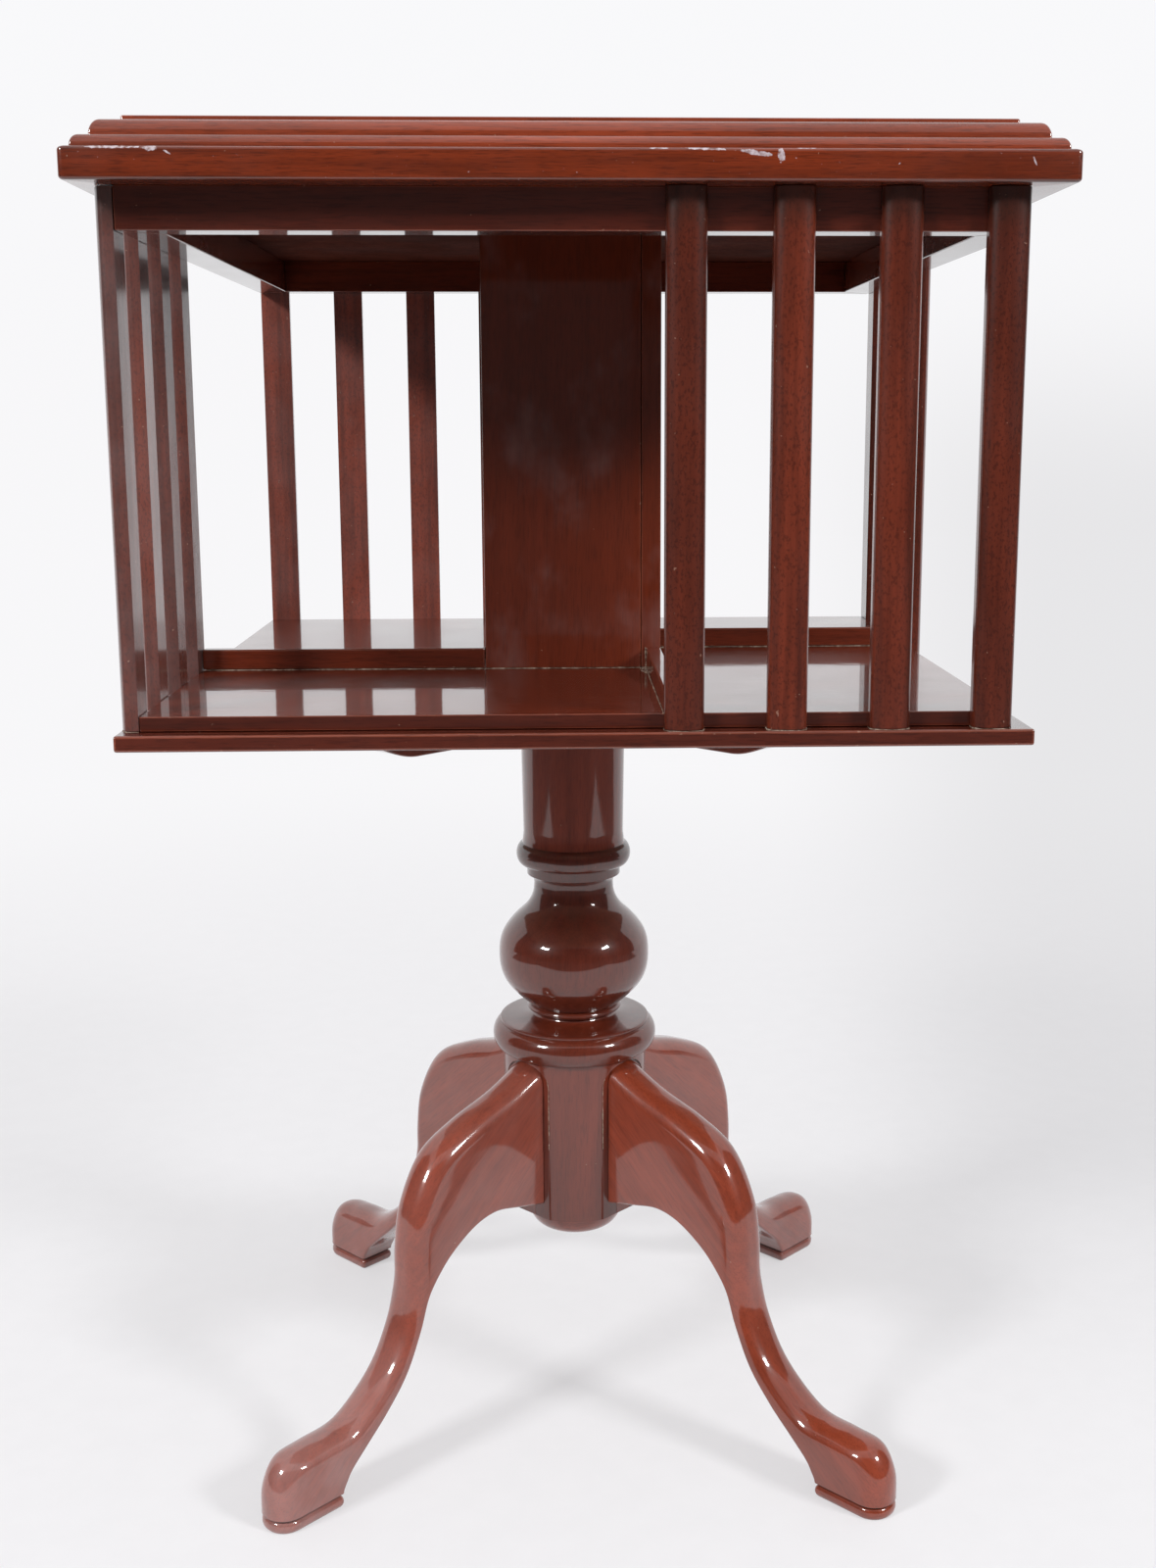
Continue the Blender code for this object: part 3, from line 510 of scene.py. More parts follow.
def pillar_profile():
    """Radius and height from the pillar's upper end down."""
    ring_half = (RING_TOP - FILLET_TOP) / 2
    taper, fall = SHAFT_CORE - SHAFT_RADIUS, RING_TOP + ring_half - pillar_high.z
    line = [(SHAFT_RADIUS + taper * share, pillar_high.z + fall * share) for share in SHAFT_SHARES]
    line += arc((SHAFT_CORE, FILLET_TOP + ring_half), (RING_RADIUS - SHAFT_CORE, ring_half), 80, -80, 20)
    line += [(FILLET_RADIUS, FILLET_TOP), (FILLET_RADIUS, NECK_TOP)]
    line += arc((FILLET_RADIUS, VASE_TOP), (NECK_RADIUS - FILLET_RADIUS, NECK_TOP - VASE_TOP), 75, 15, 8)
    heights = np.linspace(VASE_TOP, VASE_BOTTOM, len(VASE_RADII))
    line += smooth_line(list(zip(VASE_RADII, heights)), 4)
    waist = VASE_BOTTOM - WAIST_BOTTOM
    line += arc((WAIST_RADIUS, VASE_BOTTOM - waist / 2), (WAIST_BEAD, waist / 3), 70, -70, 10)
    line += [(WAIST_RADIUS, WAIST_BOTTOM)]
    line += smooth_line(COLLAR_SWEEP, 4)
    line += [(COLLAR_RIM, COLLAR_TOP - COLLAR_FILLET)]
    roll_top, roll_bottom = COLLAR_TOP - COLLAR_FILLET - QUIRK_ABOVE, BLOCK_TOP + QUIRK_BELOW
    roll = (COLLAR_RADIUS - COLLAR_QUIRK, (roll_top - roll_bottom) / 2)
    line += arc((COLLAR_QUIRK, (roll_top + roll_bottom) / 2), roll, 84, -84, 22)
    levels = (BLOCK_TOP, BLOCK_TOP - BLOCK_MARGIN, pillar_low.z + BLOCK_MARGIN, pillar_low.z)
    line += [(BLOCK_RADIUS, z) for z in levels]
    return eased_line(line, TURNED_EASE)


profile = pillar_profile()
print("pillar profile:", len(profile), "points, widest", round(max(radius for radius, _ in profile), 4))

# %% Helpers for geometry trees
def geometry_tree(name, sockets):
    """The wiring of a tree with a geometry input and named inputs, and those inputs."""
    tree = bpy.data.node_groups.new(name, "GeometryNodeTree")
    tree.interface.new_socket("Geometry", in_out="INPUT", socket_type="NodeSocketGeometry")
    for socket, kind in sockets.items():
        tree.interface.new_socket(socket, in_out="INPUT", socket_type="NodeSocket" + kind)
    tree.interface.new_socket("Geometry", in_out="OUTPUT", socket_type="NodeSocketGeometry")
    return Wiring(tree), tree.nodes.new("NodeGroupInput").outputs


def end_tree(wires, geometry, material):
    """Finish a tree: real faces and a material."""
    real = wires.add("GeometryNodeRealizeInstances", {"Geometry": geometry})
    dressed = wires.add("GeometryNodeSetMaterial", {"Geometry": real, "Material": material})
    wires.add("NodeGroupOutput", {"Geometry": dressed})


def swept(wires, curve, sides, radius):
    """A round bar along a curve, with its own radius at each point and closed ends."""
    circle = wires.add("GeometryNodeCurvePrimitiveCircle", {"Resolution": sides, "Radius": 1.0})
    inputs = {"Curve": curve, "Profile Curve": circle, "Scale": radius, "Fill Caps": True}
    return wires.add("GeometryNodeCurveToMesh", inputs)


def grow(piece, wires, sizes):
    """Run a tree on a piece with its inputs set, and keep the result as a plain mesh."""
    modifier = piece.modifiers.new(wires.tree.name, "NODES")
    modifier.node_group = wires.tree
    for item in wires.tree.interface.items_tree:
        if item.item_type == "SOCKET" and item.in_out == "INPUT" and item.name in sizes:
            modifier[item.identifier] = sizes[item.name]
    settle(piece)


def line_piece(name, points, edges):
    """A piece of bare lines, for a tree to run on."""
    mesh = bpy.data.meshes.new(name)
    mesh.from_pydata(points, edges, [])
    return new_object(name, mesh)


def grown_outward(piece):
    """Merge a grown piece's doubles and turn its faces outwards."""
    shape = bmesh.new()
    shape.from_mesh(piece.data)
    outward(shape, piece.data)


print("tree helpers ready")

# %% The lathe, as a geometry tree
lathe_wires, lathe = geometry_tree("lathe", {"Sides": "Int", "Finish": "Material"})
axis = lathe_wires.add("GeometryNodeMeshToCurve", {"Mesh": lathe["Geometry"]})
radius = lathe_wires.add("GeometryNodeInputNamedAttribute", {"Name": "radius"}, data_type="FLOAT")
end_tree(lathe_wires, swept(lathe_wires, axis, lathe["Sides"], radius), lathe["Finish"])


def turn_piece(name, line, sides, material):
    """A turned piece from its profile: points up the axis carry the radius to be turned at each."""
    edges = [(index, index + 1) for index in range(len(line) - 1)]
    piece = line_piece(name, [(0.0, 0.0, z) for _, z in line], edges)
    radii = piece.data.attributes.new("radius", "FLOAT", "POINT")
    radii.data.foreach_set("value", [radius for radius, _ in line])
    grow(piece, lathe_wires, {"Sides": sides, "Finish": material})
    grown_outward(piece)
    return piece


pillar = turn_piece("pillar", profile, 128, pillar_wood)
print("pillar turned with", len(pillar.data.polygons), "faces")

# %% [markdown]
# ## Leg seats
# Each leg stands against a flat with an arched head, cut into the round block, and hangs there by a
# dovetail that slides up from below. Placed by hand, the edge where flat meets round would be hard to get
# right. Booleans find it by themselves, so they cut the flats and the sockets, from the same sizes as the
# CAD. Then each face stores a number called tone, which is painted light and shade: the shaft is paler as
# painted light, and the vase and the collar are darker as painted shade under the case.

# %% Solids between sections
QUARTER, FRONT_LEFT = math.pi / 2, math.radians(225)
leg_angles = [FRONT_LEFT + number * QUARTER for number in range(4)]


def turned(points, angle):
    """Points turned about the pillar's axis."""
    cosine, sine = math.cos(angle), math.sin(angle)
    return [(x * cosine - y * sine, x * sine + y * cosine, z) for x, y, z in points]


def loft(sections):
    """Points and faces of a closed solid through sections with the same number of points."""
    count = len(sections[0])
    pairs = [(index, (index + 1) % count) for index in range(count)]
    last = (len(sections) - 1) * count
    faces = [tuple(range(count))]
    for first in range(0, last, count):
        faces += [(first + a, first + b, first + count + b, first + count + a) for a, b in pairs]
    faces.append(tuple(range(last, last + count)))
    return [point for section in sections for point in section], faces


def joined(*solids):
    """Several solids' points and faces as one."""
    points, faces = [], []
    for more_points, more_faces in solids:
        faces += [tuple(index + len(points) for index in face) for face in more_faces]
        points += more_points
    return points, faces


def cut(piece, *solids):
    """Cut solids out of a piece."""
    cutter = add_piece("cutter", *joined(*solids))
    boolean = piece.modifiers.new("cut", "BOOLEAN")
    boolean.operation, boolean.solver, boolean.object = "DIFFERENCE", "EXACT", cutter
    settle(piece)
    bpy.data.objects.remove(cutter)


print("legs stand at", [round(math.degrees(angle)) for angle in leg_angles], "degrees")

# %% Cut the seats and sockets into the block
SEAT_RADIUS, SEAT_HALF, SEAT_ARCH, SEAT_CROWN = 0.0445, 0.0195, 0.0160, 0.2352
TONGUE_INNER, TONGUE_TOP, TONGUE_ROOT, TONGUE_END = 0.0325, 0.2220, 0.0060, 0.0080
CUT_OUT, CUT_BELOW, FIT = 0.06, 0.01, 0.0003


def dovetail(side, clearance, angle):
    """A dovetail along a radius, wider inwards, from the outline of its side."""
    widening = (TONGUE_END - TONGUE_ROOT) / (SEAT_RADIUS - TONGUE_INNER)
    halves = [TONGUE_ROOT + widening * (SEAT_RADIUS - out) + clearance for out, _ in side]
    cheeks = [[(out, sign * half, z) for (out, z), half in zip(side, halves)] for sign in (-1, 1)]
    return loft([turned(cheek, angle) for cheek in cheeks])


below = pillar_low.z - CUT_BELOW
arch = [(-SEAT_HALF, below), (SEAT_HALF, below)]
arch += arc((0.0, SEAT_CROWN - SEAT_ARCH), (SEAT_HALF, SEAT_ARCH), 0, 180, 32)
socket_side = [(out, below) for out in (TONGUE_INNER - FIT, BLOCK_RADIUS)]
socket_side += [(out, TONGUE_TOP + FIT) for out in (BLOCK_RADIUS, TONGUE_INNER - FIT)]
seat_ends = [[(out, side, z) for side, z in arch] for out in (SEAT_RADIUS, CUT_OUT)]
cut(pillar, *[loft([turned(end, angle) for end in seat_ends]) for angle in leg_angles])
cut(pillar, *[dovetail(socket_side, FIT, angle) for angle in leg_angles])
shade(pillar, crisp=32)
print("pillar with seats:", len(pillar.data.polygons), "faces")

# %% Lay the pillar's grain, and its tone of painted light and shade
SHAFT_PAINTED_LIGHT, VASE_PAINTED_SHADE, BLOCK_TONE, CAP_TONE = 1.30, 0.74, 1.0, 1.6


def pillar_light_and_shade(place):
    """Painted light and shade: the shaft is paler as painted light, and the vase and collar darker as painted
    shade under the case.
    """
    if place.z > RING_TOP:
        return SHAFT_PAINTED_LIGHT
    return VASE_PAINTED_SHADE if place.z > BLOCK_TOP else BLOCK_TONE


lay_grain(pillar, (0.03, 0.02, 1.0), plank=1)
mark_faces(pillar, "tone", pillar_light_and_shade)
seat(pillar, "pedestal", "column")

# %% [markdown]
# ## Cap under the pillar
# A small turned boss covers the end of the post and the dovetails. It is round like the pillar, so the
# same lathe tree makes it.

# %% Turn the cap
CAP_FLAT, CAP_ROUND, CAP_END = 0.0220, 0.0110, [(0.0214, 0.00002), (0.0020, 0.0)]
cap_low, cap_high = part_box("column_cap")
cap_line = arc((CAP_FLAT, cap_high.z), (CAP_ROUND, cap_high.z - cap_low.z), 0, -88, 24)
cap_line += [(out, cap_low.z + up) for out, up in CAP_END]
cap = turn_piece("pillar_cap", cap_line, 96, pillar_wood)
shade(cap, crisp=40)
lay_grain(cap, (1.0, 0.2, 0.0), plank=2)
mark_faces(cap, "tone", lambda place: CAP_TONE)
seat(cap, "pedestal", "column_cap")

# %% [markdown]
# ## Cabriole legs
# A cabriole leg is sawn from a plank to an S-shaped outline and then rounded over on top, so its sides
# stay flat. It could be carved from a block with sculpting tools, but four legs have to match, so it is
# lofted: the upper and lower line of the outline are followed together, and at each step a section stands
# between them, with flat sides, a round back and eased lower edges. Under the toe a groove parts the foot
# from a flattened pad, and a thin dark line along it is painted shade. Three of the feet carry a pale,
# cloudy painted sheen that stands in for glare and the bright floor's reflection.

# %% The leg's outline
LEG_START, LEG_REACH, FOOT_LENGTH = 0.0448, 0.2201, 0.0480
LEG_RISE, FOOT_LINE, LEG_HALF, LEG_ROUND, LEG_EASE = 0.2340, 0.0091, 0.0144, 0.0120, 0.0020
ROUND_LIMIT, EASE_LIMIT, TOE_ROUND, TOE_FROM, TOE_OVER = 0.7, 0.15, LEG_HALF * 0.96, 0.6, 0.3
PAD_HEIGHT, PAD_INSET, GROOVE_DEPTH = 0.0075, 0.0002, 0.0026
PAD_SHARES = (1.0, 0.97, 0.9, 0.8, 0.65, 0.5, 0.35, 0.2, 0.1, 0.03, 0.0)
# Each row: how far out and up the upper line has come, then the lower line, as shares of the leg
LEG_SHAPE = (
    (0.000, 1.000, 0.000, 0.574),
    (0.124, 0.947, 0.123, 0.595),
    (0.277, 0.900, 0.239, 0.613),
    (0.400, 0.838, 0.336, 0.602),
    (0.479, 0.712, 0.429, 0.567),
    (0.504, 0.587, 0.510, 0.519),
    (0.510, 0.465, 0.585, 0.447),
    (0.534, 0.371, 0.630, 0.359),
    (0.592, 0.272, 0.699, 0.253),
    (0.673, 0.203, 0.792, 0.169),
    (0.759, 0.163, 0.886, 0.104),
    (0.865, 0.157, 0.958, 0.054),
    (0.951, 0.143, 0.985, 0.024),
    (0.994, 0.077, 0.997, 0.008),
    (1.000, 0.000, 1.000, 0.000),
)
print("leg outline:", len(LEG_SHAPE), "pairs of points")

# %% Sections along the leg
def ease_in_out(share):
    """A share from 0 to 1 that starts and ends level."""
    share = min(max(share, 0.0), 1.0)
    return share * share * (3 - 2 * share)


def leg_section(lower, upper, half, rounding):
    """A section of the leg: eased lower edges, flat sides and a round back."""
    run, rise = upper[0] - lower[0], upper[1] - lower[1]
    depth = math.hypot(run, rise)
    round_depth = min(rounding, depth * ROUND_LIMIT)
    soft = min(LEG_EASE, depth * EASE_LIMIT)
    flank = arc((half - soft, soft), (soft, soft), -90, 0, 4)
    flank += arc((half - rounding, depth - round_depth), (rounding, round_depth), 0, 90, 14)
    outline = flank + [(-side, up) for side, up in reversed(flank)]
    return [(lower[0] + run * up / depth, side, lower[1] + rise * up / depth) for side, up in outline]


def leg_sections():
    """All sections of a leg along +X, from the seat to the toe and down through the pad."""
    height, heel_run = LEG_RISE - FOOT_LINE, LEG_REACH - FOOT_LENGTH
    sections = []
    for upper_out, upper_up, lower_out, lower_up in smooth_line(LEG_SHAPE, 7):
        upper = (LEG_START + LEG_REACH * upper_out, FOOT_LINE + height * upper_up)
        lower = (LEG_START + heel_run * lower_out, FOOT_LINE + height * lower_up)
        rounding = LEG_ROUND + (TOE_ROUND - LEG_ROUND) * ease_in_out((upper_out - TOE_FROM) / TOE_OVER)
        sections.append(leg_section(lower, upper, LEG_HALF, rounding))
    heel, toe = LEG_START + heel_run, LEG_START + LEG_REACH
    levels = [(FOOT_LINE, GROOVE_DEPTH)]
    for share in PAD_SHARES:
        draw = 1.0 - math.sqrt(max(0.0, 1.0 - (2 * share - 1.0) ** 2))
        levels.append((PAD_HEIGHT * share, PAD_INSET + (GROOVE_DEPTH - PAD_INSET) * draw))
    for z, inset in levels:
        sections.append(leg_section((heel + inset, z), (toe - inset, z), LEG_HALF - inset, TOE_ROUND - inset))
    return sections


sections = leg_sections()
print("leg sections:", len(sections), "of", len(sections[0]), "points")

# %% Build the four legs
CORNERS = ("front_left", "front_right", "back_right", "back_left")
TONGUE_LAP, LAP_LOW, LAP_HIGH, PLANK_OUT, PLANK_DOWN = 0.003, 0.1413, 0.1443, 0.76, -0.65
tongue_side = (
    (TONGUE_INNER, pillar_low.z),
    (SEAT_RADIUS, pillar_low.z),
    (SEAT_RADIUS, LAP_LOW),
    (LEG_START + TONGUE_LAP, LAP_HIGH),
    (LEG_START + TONGUE_LAP, TONGUE_TOP),
    (TONGUE_INNER, TONGUE_TOP),
)
# Painted sheen on the feet: how much pale haze each foot gets, fading upwards.
FOOT_SHEEN, SHEEN_LOW, SHEEN_FADE, SHEEN_HEIGHT = (0.65, 0.0, 0.5, 0.5), 0.20, 0.15, 0.13
for number, (corner, angle) in enumerate(zip(CORNERS, leg_angles)):
    solid = loft([turned(section, angle) for section in sections])
    leg = add_piece("leg_" + corner, *joined(solid, dovetail(tongue_side, 0.0, angle)), leg_wood)
    shade(leg, crisp=34)
    plank_run = (PLANK_OUT * math.cos(angle), PLANK_OUT * math.sin(angle), PLANK_DOWN)
    lay_grain(leg, plank_run, plank=3 + number)
    mark_faces(
        leg, "bloom",
        lambda place: FOOT_SHEEN[number] * (SHEEN_LOW - SHEEN_FADE * ease_in_out(place.z / SHEEN_HEIGHT)),
    )
    seat(leg, "pedestal", "leg_" + corner)

# %% [markdown]
# ## Boards
# The case stands on a thin base board with a small lip, and the books stand on a floor board above it. A
# plain block has knife edges that catch no light. These boards are blocks from the CAD's own corners,
# eased by a bevel whose hardened normals keep the broad faces flat. The bevel carries a second finish,
# because arrises are where polish wears through first. The underside of the base was left unpolished, so
# it is paler, and the edges of the floor board are as dark as the base.

# %% Helpers for boards
BLOCK_FACES = ((0, 1, 2, 3), (4, 5, 6, 7), (0, 1, 5, 4), (1, 2, 6, 5), (2, 3, 7, 6), (3, 0, 4, 7))


def ease(piece, width):
    """Round a board's arrises, and show them rubbed through in the piece's second finish."""
    bevel = piece.modifiers.new("eased arrises", "BEVEL")
    bevel.width, bevel.segments, bevel.limit_method = width, 3, "ANGLE"
    bevel.harden_normals, bevel.material = True, 1
    piece.data.shade_smooth()
    settle(piece)


def refinish(piece, material, chosen):
    """Give a further finish to those faces that are chosen."""
    piece.data.materials.append(material)
    last = len(piece.data.materials) - 1
    for face in piece.data.polygons:
        if chosen(face):
            face.material_index = last


def block_points(low, high):
    """The corners of a block, lower ones first."""
    plan = ((low.x, low.y), (high.x, low.y), (high.x, high.y), (low.x, high.y))
    return [(x, y, z) for z in (low.z, high.z) for x, y in plan]


def board(node, width, along, plank, wood):
    """A board in a CAD node's place, with eased arrises and its own plank."""
    piece = add_piece(node, block_points(*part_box(node)), BLOCK_FACES, wood, rubbed_wood)
    ease(piece, width)
    lay_grain(piece, along, plank)
    seat(piece, "case", node)
    return piece


print("board helpers ready")

# %% The base and the floor of the case
BASE_EASE, FLOOR_EASE, PANEL_EASE, STOP_EASE = 0.0014, 0.0006, 0.0007, 0.0011
base = board("base_board", BASE_EASE, ALONG_X, 11, base_wood)
refinish(base, under_wood, lambda face: face.normal.z < -0.99)
book_floor = board("floor_board", FLOOR_EASE, ALONG_X, 12, case_wood)
refinish(book_floor, base_wood, lambda face: abs(face.normal.z) < 0.01)

# %% [markdown]
# ## Box, stops and frieze
# A square box hides the spindle. From its corners four low stops run outwards in a pinwheel, so that each
# side has one bay for a row of books. All eight are plain boards and come from the same helper. Under the
# top, four rails make the frieze: dark outside as painted shade under the top's overhang, and paler inside
# as painted light. They are mitred at the corners, so they are lofted from a plan with slanting ends.

# %% The box panels and the stops
SIDES = ("front", "right", "back", "left")
for number, side in enumerate(SIDES):
    board("box_" + side, PANEL_EASE, (0.02, 0.01, 1.0), 14 + number, box_wood)
    board("stop_" + side, STOP_EASE, (ALONG_Y, ALONG_X)[number % 2], 19 + number, case_wood)

# %% The frieze rails
RAIL_EASE = 0.0006
rail_low, rail_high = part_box("frieze_front")
rail_depth = rail_high.y - rail_low.y
rail_high.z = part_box("top_board")[0].z
rail_plan = (
    (rail_low.x, rail_low.y),
    (rail_high.x, rail_low.y),
    (rail_high.x - rail_depth, rail_high.y),
    (rail_low.x + rail_depth, rail_high.y),
)
for number, side in enumerate(SIDES):
    angle = number * QUARTER
    ends = [turned([(x, y, z) for x, y in rail_plan], angle) for z in (rail_low.z, rail_high.z)]
    rail = add_piece("frieze_" + side, *loft(ends), frieze_painted_shade_wood, rubbed_wood)
    ease(rail, RAIL_EASE)
    inwards, along = [Vector(direction) for direction in turned([ALONG_Y, ALONG_X], angle)]
    # Painted light: the inner faces take the paler case finish.
    refinish(rail, case_wood, lambda face: face.normal.dot(inwards) > 0.99)
    lay_grain(rail, along, 24 + number)
    seat(rail, "case", "frieze_" + side)

# %% [markdown]
# ## Slats
# Sixteen slats stand on the lip of the base, four to the right half of each side. They have a flat back
# and a bowed front. Sixteen copies made by hand would all have to be changed together, so one slat is
# modelled, and a geometry tree repeats it along a row and turns the row to the four sides. Each copy
# would show the same grain, so the tree moves the grain of each slat by a random amount from a fixed
# seed. The slats aren't of one tone either, so afterwards each face stores its slat's tone, and the back
# row is paler as painted light. The back and left rows also store a pale painted sheen.

# %% One slat
SLAT_SHOULDER, SLAT_EDGE = 0.0048, 0.0004
slat_low, slat_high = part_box("slat_front_1")
slat_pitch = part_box("slat_front_2")[0].x - slat_low.x


def slat_outline(inset):
    """The slat's plan about its own middle, with its back on y = 0, drawn in by an inset."""
    half = (slat_high.x - slat_low.x) / 2 - inset
    bulge = slat_high.y - slat_low.y - SLAT_SHOULDER - inset
    return [(half, -inset), *arc((0.0, -SLAT_SHOULDER), (half, -bulge), 0, 180, 28), (-half, -inset)]


slat_levels = (
    (slat_low.z, SLAT_EDGE),
    (slat_low.z + SLAT_EDGE, 0.0),
    (slat_high.z - SLAT_EDGE, 0.0),
    (slat_high.z, SLAT_EDGE),
)
slat_solid = loft([[(x, y, z) for x, y in slat_outline(inset)] for z, inset in slat_levels])
slats = add_piece("slats", *slat_solid, slat_wood)
shade(slats, crisp=30)
lay_grain(slats, UPRIGHT, plank=30)
print("slat:", round(slat_high.x - slat_low.x, 4), "wide,", round(slat_pitch, 4), "from one to the next")

# %% Rows and quarter turns, for geometry trees
def row_of_points(wires, count, first, pitch, back=0.0):
    """Points in a row along X."""
    start = wires.add("ShaderNodeCombineXYZ", {"X": first, "Y": back})
    step = wires.add("ShaderNodeCombineXYZ", {"X": pitch})
    return wires.add("GeometryNodeMeshLine", {"Count": count, "Start Location": start, "Offset": step})


def upright_turn(wires, angle):
    """A turn about the upright axis."""
    euler = wires.add("ShaderNodeCombineXYZ", {"Z": angle})
    return wires.add("FunctionNodeEulerToRotation", {"Euler": euler})


def at_four_sides(wires, instance, first_angle):
    """Four copies of an instance, each a quarter turn on from the last."""
    points = wires.add("GeometryNodeMeshLine", {"Count": 4, "Offset": (0.0, 0.0, 0.0)})
    number = wires.add("GeometryNodeInputIndex").outputs[0]
    angle = wires.maths("MULTIPLY_ADD", number, QUARTER, first_angle)
    inputs = {"Points": points, "Instance": instance, "Rotation": upright_turn(wires, angle)}
    return wires.add("GeometryNodeInstanceOnPoints", inputs)


print("row helpers ready")

# %% The rows, as a geometry tree
ROW_SIZES = {"First": "Float", "Pitch": "Float", "Back": "Float", "Slats": "Int", "Seed": "Int"}
GRAIN_RANGE = 3.0
row_wires, row = geometry_tree("slat rows", {**ROW_SIZES, "Finish": "Material"})
feet = row_of_points(row_wires, row["Slats"], row["First"], row["Pitch"], row["Back"])
one_row = row_wires.add("GeometryNodeInstanceOnPoints", {"Points": feet, "Instance": row["Geometry"]})
apart = row_wires.add("GeometryNodeRealizeInstances", {"Geometry": at_four_sides(row_wires, one_row, 0.0)})
random_inputs = {
    "Min": (-GRAIN_RANGE,) * 3,
    "Max": (GRAIN_RANGE,) * 3,
    "ID": row_wires.add("GeometryNodeInputMeshIsland"),
    "Seed": row["Seed"],
}
random_place = row_wires.add("FunctionNodeRandomValue", random_inputs, data_type="FLOAT_VECTOR")
own_grain = row_wires.add("GeometryNodeInputNamedAttribute", {"Name": "grain"}, data_type="FLOAT_VECTOR")
moved = row_wires.add("ShaderNodeVectorMath", {0: own_grain, 1: random_place}, operation="ADD")
keep = row_wires.add(
    "GeometryNodeStoreNamedAttribute",
    {"Geometry": apart, "Name": "grain", "Value": moved},
    data_type="FLOAT_VECTOR",
    domain="CORNER",
)
end_tree(row_wires, keep, row["Finish"])
print("slat rows:", len(row_wires.tree.nodes), "nodes")

# %% Grow the slats
# The back row's tone is painted light, and the slats' sheen is a painted haze.
FRONT_TONES, BACK_PAINTED_LIGHT, PLAIN_TONE, SLAT_SHEEN = (0.70, 1.12, 1.08, 0.74), 1.9, 1.0, 0.06
NEAR_FACE = 0.2
grow(slats, row_wires, {
    "First": (slat_low.x + slat_high.x) / 2,
    "Pitch": slat_pitch,
    "Back": slat_high.y,
    "Slats": 4,
    "Seed": 11,
    "Finish": slat_wood,
})


def in_back_row(place):
    """Whether a point is on one of the slats at the back."""
    return place.y > NEAR_FACE and place.x < 0


def slat_tone_and_light(place):
    """Each front slat has its own tone, and the back row is paler as painted light."""
    if place.y < -NEAR_FACE and place.x > 0:
        return FRONT_TONES[min(3, int((place.x - slat_low.x) / slat_pitch))]
    return BACK_PAINTED_LIGHT if in_back_row(place) else PLAIN_TONE


def slat_sheen(place):
    """A pale painted sheen on the back row and the left row, standing in for glare."""
    return SLAT_SHEEN if in_back_row(place) or place.x < -NEAR_FACE else 0.0


mark_faces(slats, "tone", slat_tone_and_light)
mark_faces(slats, "bloom", slat_sheen)
seat(slats, "case", *[f"slat_{side}_{number}" for side in SIDES for number in range(1, 5)])

# %% [markdown]
# ## Top
# The top is a plain square board whose edge shows as a smooth band. Over it lies a second, smaller board
# with a moulded edge: a small quarter round, an ovolo and a narrow fillet. A bevel could round the band,
# but it can't give a moulding its steps, so both are stacks of squares that follow the edge's line.
# Mouldings are worked along each side, so their grain turns at the mitres, and the broad upper face keeps
# the grain of its own plank.

# %% Helpers for the top
CORNER_SIGNS, CORNER_STEPS, BROAD_HALF = ((1, 1), (-1, 1), (-1, -1), (1, -1)), 6, 0.15


def rounded_square(half, corner):
    """A square about the axis with rounded corners."""
    inner, plan = half - corner, []
    for number, (right, back) in enumerate(CORNER_SIGNS):
        start = 90 * number
        plan += arc((inner * right, inner * back), (corner, corner), start, start + 90, CORNER_STEPS)
    return plan


def stacked(name, line, corner, material):
    """A square solid whose edge follows a line of half width and height."""
    rings = [[(x, y, z) for x, y in rounded_square(half, corner)] for half, z in line]
    return add_piece(name, *loft(rings), material)


def round_the_sides(face):
    """Grain along the side that a face belongs to, and along X on the broad upper and lower faces."""
    centre = face.center
    if abs(face.normal.z) > 0.98 and max(abs(centre.x), abs(centre.y)) < BROAD_HALF:
        return ALONG_X
    return ALONG_Y if abs(centre.x) > abs(centre.y) else ALONG_X


print("top helpers ready")

# %% The band and the moulded board
BAND_EASE, BAND_CORNER, INSIDE_HALF = 0.0020, 0.0030, 0.2075
band_low, band_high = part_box("top_board")
band_edge, band_round = band_high.x - BAND_EASE, (BAND_EASE, BAND_EASE)
band_line = [(INSIDE_HALF, band_low.z)]
band_line += arc((band_edge, band_low.z + BAND_EASE), band_round, -90, 0, 6)
band_line += arc((band_edge, band_high.z - BAND_EASE), band_round, 0, 90, 6)
band = stacked("top_band", band_line, BAND_CORNER, top_wood)
refinish(band, raw_wood, lambda face: face.normal.z < -0.9 and abs(face.center.x) + abs(face.center.y) < 0.01)
shade(band, crisp=30)
lay_grain(band, round_the_sides, plank=35)
seat(band, "case", "top_board")

STEP_EDGE, OVOLO_EDGE, OVOLO_WIDTH, CROWN_EDGE = 0.2412, 0.2323, 0.0050, 0.2242
STEP_TOP, OVOLO_TOP, CROWN_EASE, QUIRK_EASE, MITRE_CORNER = 0.7886, 0.7970, 0.0008, 0.0003, 0.0012
edge_low, edge_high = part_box("top_moulding")
edge_line = arc((STEP_EDGE, edge_low.z), (edge_high.x - STEP_EDGE, STEP_TOP - edge_low.z), 0, 90, 10)
edge_line += arc((OVOLO_EDGE, STEP_TOP), (OVOLO_WIDTH, OVOLO_TOP - STEP_TOP), 0, 90, 12)
edge_line += [(CROWN_EDGE, OVOLO_TOP)]
edge_line += arc((CROWN_EDGE - CROWN_EASE, edge_high.z - CROWN_EASE), (CROWN_EASE, CROWN_EASE), 0, 90, 4)
moulding = stacked("top_moulding", eased_line(edge_line, QUIRK_EASE), MITRE_CORNER, moulding_painted_light_wood)
shade(moulding, crisp=28)
lay_grain(moulding, round_the_sides, plank=36)
seat(moulding, "case", "top_moulding")

